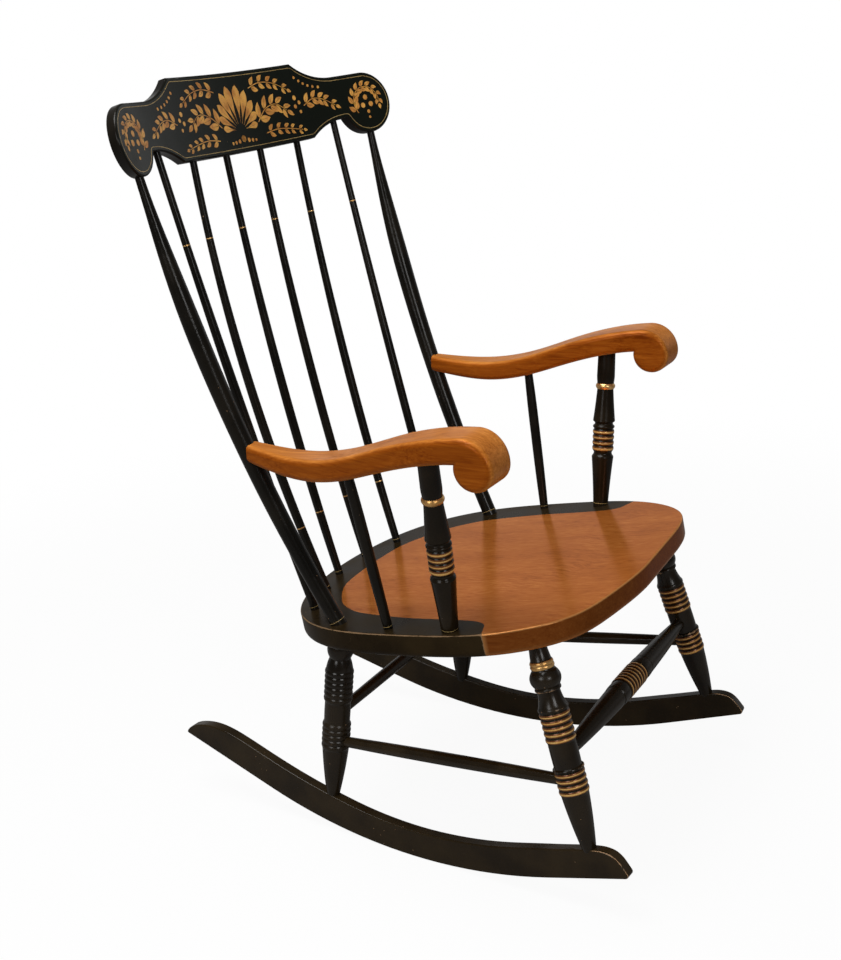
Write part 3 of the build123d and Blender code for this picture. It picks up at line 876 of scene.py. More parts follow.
@dataclass
class Turning:
    """Round piece made on the lathe, from its cuts."""

    first_radius: float
    cuts: list[Cut]
    around: int = 64
    bulge_spans: int = 26
    bulge_span: float = 0.8
    plain_span: float = 12.0
    least_share: float = 0.02      # smallest part of a cut between a ring and a gilt rim
    wear_reach: float = 4.0
    wear_rise: float = 1.1         # how far a fully exposed point stands out
    crease: float = 38.0           # angle in degrees from which an edge is sharp

    def profile(self) -> list[tuple[float, float, Gilt]]:
        """Points along the piece.

        Returns:
            The distance, the radius, and how the stretch up to the next point is gilt.
        """
        line = []
        at, radius = 0.0, self.first_radius
        for cut in self.cuts:
            steps = max(1, round(cut.length / self.plain_span))
            if cut.bulge:
                steps = min(self.bulge_spans, math.ceil(cut.length / self.bulge_span))
            low, high = 0.5 - cut.share / 2, 0.5 + cut.share / 2
            shares = {step / steps for step in range(steps)}
            if cut.gilt:
                shares = {t for t in shares if min(abs(t - low), abs(t - high)) > self.least_share}
                shares |= {t for t in (0.0, low, high) if t < 1.0}
            for t in sorted(shares):
                bowed = radius + (cut.radius - radius) * t + cut.bulge * 4 * t * (1 - t)
                line.append((at + cut.length * t, bowed, cut.gilt if low <= t < high else Gilt.NONE))
            at += cut.length
            radius = cut.radius
        line.append((at, radius, Gilt.NONE))
        return line

    def exposure(self, line: Sequence[tuple[float, float, Gilt]]) -> list[float]:
        """How far each point of the profile stands out from its surroundings.

        Args:
            line: The profile.

        Returns:
            A value from 0 to 1 for each point.
        """
        at = np.array([p[0] for p in line])
        radius = np.array([p[1] for p in line])
        reach = self.wear_reach
        near = [np.interp(z + reach * np.array([-1, -0.5, 0.5, 1]), at, radius).mean() for z in at]
        return [float(v) for v in np.clip((radius - np.array(near)) / self.wear_rise, 0.0, 1.0)]

    def piece(
        self, name: str, start: Vector, way: Vector, materials: Sequence[Material]
    ) -> bpy.types.Object:
        """Makes the object.

        Args:
            name: The piece's name.
            start: Where the first cut starts, in the row frame.
            way: Direction of the axis.
            materials: The plain finish and the gilt ones, in the order of Gilt.

        Returns:
            The object.
        """
        way = way.normalized()
        side = way.orthogonal().normalized()
        skin = Skin()
        line = self.profile()
        rings = []
        for (at, radius, _), wear in zip(line, self.exposure(line)):
            ring = hoop(start + way * (at * MM), way, side, radius * MM, self.around)
            rings.append(skin.add_points(ring, wear))
        skin.chain(rings, [gilt for _, _, gilt in line])
        piece = skin.piece(name, materials)
        piece.data.set_sharp_from_angle(angle=math.radians(self.crease))
        return piece

    def pair(self, name: str, start: Vector, way: Vector, materials: Sequence[Material]) -> None:
        """Makes the piece on both sides of the chair, each in place of its CAD node.

        Args:
            name: Name of the nodes, without their side.
            start: Where the first cut starts on the sitter's left.
            way: Direction of the axis there.
            materials: The plain finish and the gilt ones, in the order of Gilt.
        """
        for side in Side:
            node = f"{name}_{side.tag}"
            piece = self.piece(f"{node}_turned", flip(start, side), flip(way, side), materials)
            settle(piece, BLACK_SLOT, node)


@dataclass
class SeatPlank:
    """Shaped plank seat: clear wood with a black band round its back and sides."""

    tilt: float = 9.05
    origin: Place = (0.0, -33.4, 367.2)
    thickness: float = 33.0
    top_edge: float = 2.7
    border_wear: float = 0.9
    low_edge: float = 9.0
    low_wear: float = 0.35
    low_spans: int = 6
    top_spans: int = 5
    wall_shares: tuple[float, ...] = (0.75, 0.5, 0.25)
    points_round: int = 288
    search: int = 8                # tried points for each kept one, to find the front's middle
    band_steps: int = 5
    band: tuple[Flat, ...] = (
        (0, 203), (53, 200), (88, 194), (124, 177), (165, 148), (191, 112), (202, 80), (210, 42),
        (216, 6), (219, -36), (222, -77), (227, -106), (237, -122), (254, -129), (266, -133),
    )

    @property
    def up(self) -> Vector:
        """The seat's normal."""
        return Vector((0, math.sin(math.radians(self.tilt)), math.cos(math.radians(self.tilt))))

    @property
    def back(self) -> Vector:
        """Direction up the seat's face towards its back."""
        return Vector((0, math.cos(math.radians(self.tilt)), -math.sin(math.radians(self.tilt))))

    def at(self, x: float, y: float, depth: float = 0.0) -> Vector:
        """Point of the row frame, from the seat's own millimetres and the depth under its face."""
        return shop(*self.origin) + (Vector((x, 0, 0)) + self.back * y - self.up * depth) * MM

    def outline(self) -> np.ndarray:
        """Outline of the plank, read from its CAD node.

        Returns:
            Even points, from the middle of the front towards the sitter's left.
        """
        middle = shop(*self.origin)
        local = [v.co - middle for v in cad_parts["seat"].data.vertices]
        flat = [Vector((p.x, p.dot(self.back))) / MM for p in local]
        hull = np.array([flat[i] for i in convex_hull_2d(flat)])
        if np.sum(hull[:, 0] * np.roll(hull[:, 1], -1) - hull[:, 1] * np.roll(hull[:, 0], -1)) < 0:
            hull = hull[::-1]
        dense = even_loop(hull, self.search * self.points_round)
        front = int(np.argmin(np.abs(dense[:, 0]) + FAR * (dense[:, 1] > 0)))
        return even_loop(np.roll(dense, -front, axis=0), self.points_round)

    def sections(self) -> list[tuple[float, float, float]]:
        """Edge of the plank, from below.

        Returns:
            Inset, depth and wear of each ring.
        """
        rings = []
        for i in range(self.low_spans + 1):
            turn = math.pi / 2 * i / self.low_spans
            round_off = self.low_edge * (1 - math.sin(turn))
            depth = self.thickness - self.low_edge * (1 - math.cos(turn))
            rings.append((round_off, depth, self.low_wear * math.sin(2 * turn)))
        walls = self.thickness - self.low_edge - self.top_edge
        rings += [(0.0, self.top_edge + walls * share, 0.0) for share in self.wall_shares]
        # The top rounding's wear peaks half way round it; on the wood it shows as a pale line, partly a
        # painted highlight
        for i in range(self.top_spans + 1):
            turn = math.pi / 2 * i / self.top_spans
            inset = self.top_edge * (1 - math.cos(turn))
            rings.append((inset, self.top_edge * (1 - math.sin(turn)), math.sin(2 * turn)))
        return rings

    def build(self, palette: Palette) -> None:
        """Builds the seat.

        Args:
            palette: The finishes.
        """
        outline = self.outline()
        inward = normals(outline)
        left = outline[:, 0] > 0
        border = int(np.argmin(np.where(left, np.abs(outline[:, 1] - self.band[-1][1]), FAR)))
        count = len(outline)
        skin = Skin()
        rings = []
        for inset, depth, wear in self.sections():
            flat = outline + inward * inset
            rings.append(skin.add_points([self.at(x, y, depth) for x, y in flat], wear))
            for end in (border, count - border):
                skin.wear[rings[-1][end]] = self.border_wear
        skin.add_face(rings[0][::-1])
        for i in range(len(rings) - 1):
            skin.join(rings[i], rings[i + 1], lambda k: int(border <= k < count - border))
        half = smooth_line(self.band, self.band_steps)[:-1]
        line = half[::-1] + [(-x, y) for x, y in half[1:]]
        painted = skin.add_points([self.at(x, y) for x, y in line])
        top = rings[-1]
        skin.add_face(top[: border + 1] + painted + top[count - border:], 0)
        skin.add_face(top[border: count - border + 1] + painted[::-1], 1)
        seat = skin.piece("seat_plank", (palette.seat, palette.band))
        seat.modifiers.new("flat_faces", "WEIGHTED_NORMAL").keep_sharp = True
        settle(seat, WOOD_SLOT, "seat")


@dataclass
class Legs:
    """Four turned legs; the front ones have gold rings."""

    front_foot: Place = (238.5, -293.7, 87.9)
    front_slope: Flat = (-0.0909, 0.2812)
    rear_foot: Place = (206.5, 132.3, 50.0)
    rear_slope: Flat = (-0.0788, -0.1016)
    foot_radius: float = 8.4
    foot_flare: float = 1.0
    drop: float = 3.0
    front_neck: float = 11.0
    rear_neck: float = 14.0
    into_seat: float = 8.0

    @staticmethod
    def axis(slope: Flat) -> Vector:
        """Direction of a leg, upwards."""
        return Vector((*slope, 1.0)).normalized()

    def front_cuts(self) -> list[Cut]:
        """Front leg: taper, rings, drum, rings, flare, ball, double ring.

        Returns:
            Its cuts, from the foot up.
        """
        cuts = [Cut(78.9, 19.0, 1.0)]
        cuts += [Cut.bead(8.2, 19.0, 1.6)] * 4
        cuts += [Cut(1.0, 21.2), Cut(2.6, 21.0, 0.3), Cut(1.2, 18.7), Cut(34.7, 19.0, 0.2)]
        cuts += [Cut.bead(8.4, 19.0, 1.6)] * 5
        cuts += [Cut(1.0, 20.4), Cut(4.6, 20.0, 0.5), Cut(1.2, 19.2), Cut(20.5, 15.2, -0.8)]
        cuts += [Cut(1.0, 17.4), Cut(3.4, 17.6, 0.4), Cut(1.1, 16.6), Cut(23.5, 15.6, 5.0), Cut(1.5, 15.4)]
        cuts += [Cut.band(5.4, 15.6, 0.9), Cut.band(5.4, 14.6, 0.9)]
        return cuts + [Cut(1.0, 14.0)]

    def rear_cuts(self) -> list[Cut]:
        """Rear leg: taper, rings, drum, rings, cove, ball.

        Returns:
            Its cuts, from the foot up.
        """
        cuts = [Cut(79.4, 19.7, 1.0)]
        cuts += [Cut(8.25, 19.7, 1.4)] * 5
        cuts += [Cut(1.0, 19.0), Cut(32.3, 19.0, 0.2), Cut(1.0, 19.7)]
        cuts += [Cut(8.4, 19.7, 1.4)] * 6
        cuts += [Cut(17.0, 15.2, 0.6), Cut(2.0, 16.2), Cut(26.0, 14.8, 3.8), Cut(3.0, self.rear_neck)]
        return cuts

    def build(self, palette: Palette, seat: SeatPlank) -> None:
        """Builds the four legs.

        Args:
            palette: The finishes.
            seat: The seat that they reach up to.
        """
        under = seat.at(0, 0, seat.thickness)
        kinds = (
            ("front_leg", self.front_foot, self.front_slope, self.front_cuts(), self.front_neck),
            ("rear_leg", self.rear_foot, self.rear_slope, self.rear_cuts(), self.rear_neck),
        )
        for name, foot, slope, cuts, neck in kinds:
            axis = self.axis(slope)
            reach = (under - shop(*foot)).dot(seat.up) / axis.dot(seat.up) / MM
            rest = reach - sum(cut.length for cut in cuts)
            ends = [Cut(rest, neck), Cut(self.into_seat, neck)]
            entry = Cut(self.drop, self.foot_radius + self.foot_flare)
            turning = Turning(self.foot_radius, [entry, *cuts, *ends])
            start = shop(*foot) - axis * (self.drop * MM)
            turning.pair(name, start, axis, (palette.leg, *palette.gilding))


@dataclass
class Stretchers:
    """Front stretcher with seven gold rings, and the plain rear and side ones."""

    half_length: float = 221.78
    front_place: Flat = (-258.37, 213.53)
    end_radius: float = 9.2
    swell_rest: float = 72.0       # what the swelling leaves of each half's length
    rings: int = 7
    ring_span: float = 61.2

    def front_cuts(self) -> list[Cut]:
        """Front stretcher: two like halves with the rings between.

        Returns:
            Its cuts, from end to end.
        """
        half = [Cut(17.0, self.end_radius), Cut(self.half_length - self.swell_rest, 16.2, 0.8)]
        half += [Cut(1.5, 15.0), Cut(1.5, 16.6), Cut(19.0, 16.6, 0.3), Cut(1.5, 15.8), Cut(0.9, 16.2)]
        starts = [self.end_radius] + [cut.radius for cut in half]
        back = [Cut(cut.length, starts[i], cut.bulge) for i, cut in reversed(list(enumerate(half)))]
        ring = Cut.bead(self.ring_span / self.rings, 16.2, 1.6)
        return half + [ring] * self.rings + back

    def build(self, palette: Palette) -> None:
        """Builds the front stretcher and dresses the others.

        Args:
            palette: The finishes.
        """
        turning = Turning(self.end_radius, self.front_cuts())
        start = shop(-self.half_length, *self.front_place)
        finishes = (palette.turned, *palette.gilding)
        piece = turning.piece("front_stretcher_turned", start, Vector((1, 0, 0)), finishes)
        settle(piece, BLACK_SLOT, "front_stretcher")
        dress(palette.bar, "rear_stretcher", *both("side_stretcher"))


@dataclass
class Arms:
    """Two arms of clear wood on turned posts and plain spindles."""

    post_seat: Flat = (255.5, -80.7)
    post_top: Place = (291.5, -116.2, 633.0)
    spindle_seat: Flat = (251.6, 18.0)
    spindle_top: Place = (276.0, 16.5, 604.0)
    sunk: float = 6.0
    line_at: float = 4.0
    line_width: float = 0.8
    post_radius: float = 11.8
    post_line_radius: float = 11.88
    post_taper: float = 74.0
    spindle_foot: float = 6.4
    spindle_line_radius: float = 6.45
    spindle_radius: float = 7.6
    spindle_head: float = 6.6
    spindle_ends: Flat = (30.0, 26.0)     # what the upper taper leaves, and how much of it is straight
    spindle_bulge: float = 0.4

    def post_cuts(self) -> list[Cut]:
        """Arm post: taper, cove, rings, bead, vase, neck ring.

        Returns:
            Its cuts, from inside the seat up.
        """
        cuts = [Cut(self.sunk + self.line_at, self.post_radius)]
        cuts += [Cut.line(self.line_width, self.post_line_radius)]
        cuts += [Cut(self.post_taper - self.line_width, 17.0, -0.4)]
        cuts += [Cut(3.5, 16.2, 0.4), Cut(7.5, 15.4, -1.6)]
        cuts += [Cut.bead(8.7, 15.4, 1.5)] * 4
        cuts += [Cut(0.8, 14.8), Cut(6.4, 14.8, 2.3), Cut(3.5, 14.6, -0.5), Cut(2.5, 17.3, 0.3)]
        cuts += [Cut(50.5, 12.7, -0.3), Cut.band(9.6, 13.0, 2.3)]
        return cuts + [Cut(12.0, 14.0, 0.2), Cut(50.0, 13.2)]

    def spindle_cuts(self, rise: float) -> list[Cut]:
        """Arm spindle, with a gold line near its foot.

        Args:
            rise: Its length from the seat to its top, in millimetres.

        Returns:
            Its cuts, from inside the seat up.
        """
        short, end = self.spindle_ends
        cuts = [Cut(self.sunk + self.line_at, self.spindle_foot)]
        cuts += [Cut.line(self.line_width, self.spindle_line_radius)]
        cuts += [Cut(rise / 2, self.spindle_radius, self.spindle_bulge)]
        cuts += [Cut(rise / 2 - short, self.spindle_head, self.spindle_bulge)]
        return cuts + [Cut(end, self.spindle_head)]

    def build(self, palette: Palette, seat: SeatPlank) -> None:
        """Builds posts and spindles and dresses the arms.

        Args:
            palette: The finishes.
            seat: The seat that they stand on.
        """
        rise = (shop(*self.spindle_top) - seat.at(*self.spindle_seat)).length / MM
        post = Turning(self.post_radius, self.post_cuts())
        spindle = Turning(self.spindle_foot, self.spindle_cuts(rise))
        kinds = (
            ("arm_post", self.post_seat, self.post_top, post, palette.turned),
            ("arm_spindle", self.spindle_seat, self.spindle_top, spindle, palette.rod),
        )
        for name, foot, top, turning, black in kinds:
            way = (shop(*top) - seat.at(*foot)).normalized()
            start = seat.at(*foot) - way * (self.sunk * MM)
            turning.pair(name, start, way, (black, *palette.gilding))
        dress(palette.arm, *both("arm"))
        dress(palette.steel, "arm_screws")


@dataclass
class BackRods:
    """Six bent spindles with gold bands, and the two bent back posts."""

    seat_places: tuple[Flat, ...] = ((39.0, 237.5), (104.5, 217.0), (184.2, 185.5))
    crest_places: tuple[float, ...] = (42.0, 129.0, 219.0)
    bows: tuple[Flat, ...] = ((11.0, 0.0), (16.9, 9.0), (4.5, 2.0))
    radii: tuple[float, ...] = (6.0, 6.7, 6.9, 6.7, 6.1, 5.4, 5.1)
    post_seat: Flat = (234.5, 111.0)
    post_crest: float = 289.0
    post_bow: Flat = (21.0, 4.0)
    post_radii: tuple[float, ...] = (11.4, 11.6, 12.6, 12.9, 13.2, 12.9, 9.6, 6.0)
    foot_line: Flat = (4.6, 0.8)
    bands: tuple[Flat, ...] = ((103.0, 1.7), (547.0, 1.6))
    sunk: float = 6.0
    around: int = 36
    step: float = 9.0
    probe: float = 2.0             # reach to both sides at which a rod's direction is read
    crease: float = 40.0
    proud: float = 0.12

    @staticmethod
    def path(low: Vector, high: Vector, bow: Flat, count: int = 400) -> list[Vector]:
        """Bent line of a rod.

        Args:
            low: Its foot on the seat.
            high: Its head in the crest rail.
            bow: How far its middle stands behind and outside its chord, in millimetres.
            count: Spans along the line.

        Returns:
            Points along the line.
        """
        chord = (high - low).normalized()
        behind = (Vector((0, 1, 0)) - chord * chord.y).normalized()
        middle = (low + high) / 2 + (behind * bow[0] + Vector((1, 0, 0)) * bow[1]) * (2 * MM)
        shares = [i / count for i in range(count + 1)]
        return [low * (1 - t) ** 2 + middle * (2 * t * (1 - t)) + high * t**2 for t in shares]

    @staticmethod
    def stations(
        path: Sequence[Vector], radii: Sequence[float], steps: int = 12
    ) -> tuple[np.ndarray, np.ndarray, np.ndarray]:
        """Distances, places and radii along a rod.

        Args:
            path: Points along its line.
            radii: Radii at even steps.
            steps: Spans between one radius and the next.

        Returns:
            Distance of each path point from the foot in millimetres, its place, and its radius.
        """
        places = np.array([tuple(p) for p in path])
        run = np.concatenate([[0.0], np.cumsum(np.linalg.norm(np.diff(places, axis=0), axis=1))]) / MM
        dense = smooth_line([(float(i), r) for i, r in enumerate(radii)], steps)
        share = np.linspace(0.0, len(radii) - 1.0, len(path))
        return run, places, np.interp(share, [p[0] for p in dense], [p[1] for p in dense])

    def tube(
        self, name: str, path: Sequence[Vector], radii: Sequence[float],
        stops: Sequence[tuple[float, Gilt]], materials: Sequence[Material], extra: float = 0.0,
    ) -> bpy.types.Object:
        """Round tube along a path.

        Args:
            name: The piece's name.
            path: Points along its line, foot first.
            radii: Radii at even steps.
            stops: Distances of its rings from the foot, and how the stretch after each is gilt.
            materials: The plain finish and the gilt ones, in the order of Gilt.
            extra: How much stouter than the radii it is, in millimetres.

        Returns:
            The object.
        """
        run, places, thick = self.stations(path, radii)
        skin = Skin()
        rings = []
        for at, _ in stops:
            here = min(max(at, self.probe), run[-1] - self.probe)
            spots = (here - self.probe, here + self.probe)
            near = [[np.interp(spot, run, places[:, k]) for k in range(3)] for spot in spots]
            behind, ahead = (Vector(p) for p in near)
            way = (ahead - behind).normalized()
            centre = (behind + ahead) / 2 + way * ((at - here) * MM)
            side = way.cross(Vector((0, 1, 0))).normalized()
            radius = (float(np.interp(at, run, thick)) + extra) * MM
            rings.append(skin.add_points(hoop(centre, way, side, radius, self.around)))
        skin.chain(rings, [gilt for _, gilt in stops])
        return skin.piece(name, materials)

    def build(self, palette: Palette, seat: SeatPlank, crest: "CrestRail") -> None:
        """Builds the spindles, dresses the posts and rings their feet.

        Args:
            palette: The finishes.
            seat: The seat that they stand on.
            crest: The crest rail that they carry.
        """
        finishes = (palette.rod, *palette.gilding)
        half = len(self.seat_places)
        rods = zip(self.seat_places, self.crest_places, self.bows)
        for number, (foot, top_x, bow) in enumerate(rods, start=1):
            path = self.path(seat.at(*foot), crest.inside(top_x, crest.lower(top_x)), bow)
            length = sum((b - a).length for a, b in zip(path, path[1:])) / MM
            marks = [(-self.sunk, Gilt.NONE), (length + self.sunk, Gilt.NONE)]
            marks += [(at, Gilt.NONE) for at in np.arange(0.0, length, self.step)]
            for middle, width in (self.foot_line, *self.bands):
                gilt = Gilt.BAND if (middle, width) in self.bands else Gilt.LINE
                marks = [m for m in marks if abs(m[0] - middle) > width]
                marks += [(middle - width / 2, gilt), (middle + width / 2, Gilt.NONE)]
            marks.sort()
            for side in Side:
                node = f"spindle_{half + number if side is Side.LEFT else half + 1 - number}"
                line = [flip(p, side) for p in path]
                rod = self.tube(f"{node}_bent", line, self.radii, marks, finishes)
                rod.data.set_sharp_from_angle(angle=math.radians(self.crease))
                settle(rod, BLACK_SLOT, node)
        head = crest.inside(self.post_crest, crest.ear_foot())
        path = self.path(seat.at(*self.post_seat), head, self.post_bow)
        at, width = self.foot_line
        ends = [(place, Gilt.LINE) for place in (at - width / 2, at, at + width / 2)]
        dress(palette.rod, *both("back_post"))
        for side in Side:
            line = [flip(p, side) for p in path]
            name = f"back_post_{side.tag}_line"
            settle(self.tube(name, line, self.post_radii, ends, finishes, self.proud), BLACK_SLOT)


@dataclass
class CrestRail:
    """Bent crest rail with a gold line round its face and a stencilled ornament."""

    LEAN = math.radians(13.0)
    UP = Vector((0, math.sin(LEAN), math.cos(LEAN)))
    FRONT = Vector((0, -math.cos(LEAN), math.sin(LEAN)))

    origin: Place = (0.0, 327.8, 980.0)
    bend: float = 950.0
    thickness: float = 16.0
    top: float = 105.5
    low: float = -11.0
    top_half: float = 149.0
    low_half: float = 163.0
    ear: Flat = (286.4, 26.4)
    ear_radius: float = 47.8
    shoulder: Flat = (232.0, 75.5)
    notch: Flat = (233.0, 9.0)
    cheek: Flat = (0.78, 0.6258)   # a point of the ear's rim below its middle, in ear radii
    rod_depth: float = 0.56        # place of the rods in the rail's thickness
    arc_steps: int = 40
    ear_steps: int = 90
    line_inset: float = 6.0
    line_slack: float = 0.05
    line_width: float = 0.95
    line_search: int = 1500
    line_points: int = 700
    line_passes: int = 3
    proud: float = 0.14
    film: float = 0.5

    def face(self, x: float, height: float, lift: float = 0.0) -> Vector:
        """Point on the front face, or that far in front of it."""
        forward = self.bend - math.sqrt((self.bend - lift) ** 2 - x * x)
        return shop(*self.origin) + (Vector((x, 0, 0)) + self.UP * height + self.FRONT * forward) * MM

    def inside(self, x: float, height: float) -> Vector:
        """Point where a rod is set."""
        return self.face(x, height, -self.thickness * self.rod_depth)

    def hollow(self) -> float:
        """Radius of the lower hollow."""
        run, rise = self.notch[0] - self.low_half, self.notch[1] - self.low
        return (run**2 + rise**2) / (2 * rise)

    def lower(self, x: float) -> float:
        """Lower edge of the rail.

        Args:
            x: Distance from the rail's middle.

        Returns:
            The edge's height.
        """
        if x <= self.low_half:
            return self.low
        radius = self.hollow()
        return self.notch[1] - radius + math.sqrt(radius**2 - (self.notch[0] - x) ** 2)

    def ear_foot(self) -> float:
        """Height of the ear's lower edge over the back post."""
        return self.ear[1] - math.sqrt(self.ear_radius**2 - (BackRods.post_crest - self.ear[0]) ** 2)

    def outline(self) -> np.ndarray:
        """Outline of the front face.

        Returns:
            Closed line, clockwise from the middle of the top.
        """
        ear_x, ear_h = self.ear
        run, rise = self.shoulder[0] - self.top_half, self.top - self.shoulder[1]
        radius = (run**2 + rise**2) / (2 * rise)
        sag = self.shoulder[1] + radius - math.sqrt(radius**2 - (run / 2) ** 2)
        ear_low = ear_x - math.sqrt(self.ear_radius**2 - (ear_h - self.notch[1]) ** 2)
        middle_x = (self.notch[0] + self.low_half) / 2
        crown, foot = (ear_x, ear_h + self.ear_radius), (ear_x, ear_h - self.ear_radius)
        cheek = (ear_x - self.ear_radius * self.cheek[0], ear_h - self.ear_radius * self.cheek[1])
        bay, dip = (self.shoulder[0] - run / 2, sag), (middle_x, self.lower(middle_x))
        half = [(0.0, self.top)]
        half += arc_through((self.top_half, self.top), bay, self.shoulder, self.arc_steps)
        half += arc_through(crown, (ear_x + self.ear_radius, ear_h), foot, self.ear_steps)
        half += arc_through(foot, cheek, (ear_low, self.notch[1]), self.arc_steps)[1:]
        half += arc_through(self.notch, dip, (self.low_half, self.low), self.arc_steps)
        half += [(0.0, self.low)]
        return np.array(half + [(-x, h) for x, h in half[-2:0:-1]])

    def inset_line(self) -> np.ndarray:
        """The outline moved inwards, with its crossings cut away.

        Returns:
            The closed line, evenly spaced.
        """
        dense = even_loop(self.outline(), self.line_search)
        moved = dense - normals(dense) * self.line_inset
        gaps = np.hypot(moved[:, None, 0] - dense[None, :, 0], moved[:, None, 1] - dense[None, :, 1])
        clear = gaps.min(axis=1) > self.line_inset - self.line_slack
        line = even_loop(moved[clear], self.line_points)
        for _ in range(self.line_passes):
            line = (np.roll(line, 1, axis=0) + 2 * line + np.roll(line, -1, axis=0)) / 4
        return line

    def film_piece(self, name: str, skin: Skin, material: Material) -> None:
        """Makes a thin painted film on the front face.

        Args:
            name: The piece's name.
            skin: Its front.
            material: Its finish.
        """
        piece = skin.piece(name, (material,))
        piece.data.shade_flat()
        body = piece.modifiers.new("film", "SOLIDIFY")
        body.thickness = self.film * MM
        body.offset = -1.0
        settle(piece, BLACK_SLOT)

    def build(self, palette: Palette) -> None:
        """Dresses the rail and paints its line and its ornament.

        Args:
            palette: The finishes.
        """
        dress(palette.crest, "crest_rail")
        line = self.inset_line()
        across = normals(line) * (self.line_width / 2)
        skin = Skin()
        rims = []
        for flat in (line - across, line + across):
            rims.append(skin.add_points([self.face(x, h, self.proud) for x, h in flat]))
        skin.join(rims[0], rims[1], lambda _: 0)
        self.film_piece("crest_gold_line", skin, palette.line)
        self.film_piece("crest_ornament", Ornament(self).skin(), palette.stencil)


@dataclass
class Ornament:
    """Generic stencilled ornament: a shell of lobes, leaf sprays, berries, and a laurel arc in each ear."""

    rail: CrestRail
    spans: int = 12
    vein: float = 0.7
    vein_share: float = 0.4
    veined_from: float = 4.4
    point: float = 0.16
    blunt: float = 0.85
    berry_rim: float = 0.02
    stem_steps: int = 10
    stem_half: float = 0.75
    stem_taper: float = 0.4
    leaf_start: float = 0.6        # first pair's place on its stem, in gaps between pairs
    leaf_rest: float = 0.2         # what the stem is longer than its gaps
    leaf_shrink: float = 0.42
    leaf_turn: float = 46.0
    leaf_curl: float = 3.0
    foot_turn: float = 62.0
    foot_gap: float = 2.1
    tip_gap: float = 1.6
    tip_size: float = 0.62
    # Direction in degrees and length of each lobe
    lobes: tuple[Flat, ...] = ((81, 56), (63, 53), (45, 47), (27, 39), (9, 30))
    lobe_foot: Flat = (1.5, 20.0)
    lobe_ring: float = 11.0
    lobe_width: float = 16.5
    lobe_thinning: float = 0.09
    lobe_fullness: float = 2.3
    spray_pairs: int = 5
    # Points of each stem, length and width of its leaves
    sprays: tuple[tuple[tuple[Flat, ...], float, float], ...] = (
        (((45, 28), (68, 45), (94, 50), (116, 38)), 24.0, 11.6),
        (((42, 79), (70, 85), (100, 81), (126, 69)), 16.0, 8.6),
        (((58, 10), (86, 13), (114, 10), (140, 5)), 13.5, 7.4),
        (((156, 40), (178, 48), (200, 44), (222, 32)), 17.0, 8.8),
    )
    # Centre and radius of each berry
    berries: tuple[tuple[float, float, float], ...] = (
        (0, 8, 5.0), (11.5, 5, 3.1), (20.5, 4, 2.6), (28.5, 3.4, 2.2),
        (139, 54, 3.6), (147, 46, 3.0), (137, 41, 3.2), (146, 32, 2.6),
        (150, 84, 2.3), (158, 78, 2.3), (166, 73, 2.3), (175, 69, 2.3), (185, 66, 2.3), (196, 64, 2.3),
    )
    arc_turns: tuple[int, int, int] = (215, -35, -25)
    arc_radius: float = 25.0
    arc_pairs: int = 9
    arc_leaf: Flat = (14.0, 8.6)
    ear_berries: tuple[tuple[float, float, float], ...] = (
        (0, 8, 4.2), (-8, -4, 4.2), (8, -4, 4.2), (0, -15, 2.8), (0, -24, 2.2),
    )

    def stroke(
        self, skin: Skin, middle: Sequence[Flat], left: Sequence[float], right: Sequence[float]
    ) -> None:
        """Adds a painted stroke on both halves of the rail.

        Args:
            skin: Mesh that takes it.
            middle: Its middle line.
            left: Distance of its left rim from that line at each point.
            right: Distance of its right rim.
        """
        line = np.array(middle, float)
        across = normals(line, closed=False)
        lift = self.rail.proud
        for side in Side:
            rims = []
            for reach in (left, right):
                rim = line + across * np.array(reach)[:, None]
                rims.append(skin.add_points([self.rail.face(x * side.value, h, lift) for x, h in rim]))
            upper, lower = rims
            for i in range(len(line) - 1):
                corners = (lower[i], lower[i + 1], upper[i + 1], upper[i])
                skin.add_face(corners if side is Side.LEFT else corners[::-1])

    def leaf(
        self, skin: Skin, foot: Flat, angle: float, length: float, width: float, curl: float = 0.0,
        fullness: float = 0.8,
    ) -> None:
        """Adds a leaf, in two halves with a bare vein between where it is broad.

        Args:
            skin: Mesh that takes it.
            foot: Where it starts.
            angle: Its direction in degrees, from the sitter's left upwards.
            length: Its length.
            width: Its greatest width.
            curl: How far its tip bends to the left of its direction.
            fullness: How near its tip it is widest.
        """
        shares = [i / self.spans for i in range(self.spans + 1)]
        line = [beside(beside(foot, length * t, angle), curl * t * t, angle + 90.0) for t in shares]
        swell = [max(0.0, math.sin(math.pi * t**fullness)) ** self.blunt for t in shares]
        half = [max(self.point, width / 2 * s) for s in swell]
        vein = [min(self.vein / 2, h * self.vein_share) * (1 - t) for h, t in zip(half, shares)]
        if width < self.veined_from:
            self.stroke(skin, line, half, [-h for h in half])
        else:
            self.stroke(skin, line, half, vein)
            self.stroke(skin, line, [-v for v in vein], [-h for h in half])

    def berry(self, skin: Skin, centre: Flat, radius: float) -> None:
        """Adds a round berry.

        Args:
            skin: Mesh that takes it.
            centre: Its centre.
            radius: Its radius.
        """
        heights = [radius * math.cos(math.pi * i / self.spans) for i in range(self.spans + 1)]
        half = [math.sqrt(max(radius**2 - h * h, self.berry_rim**2)) for h in heights]
        self.stroke(skin, [(centre[0], centre[1] + h) for h in heights], half, [-h for h in half])

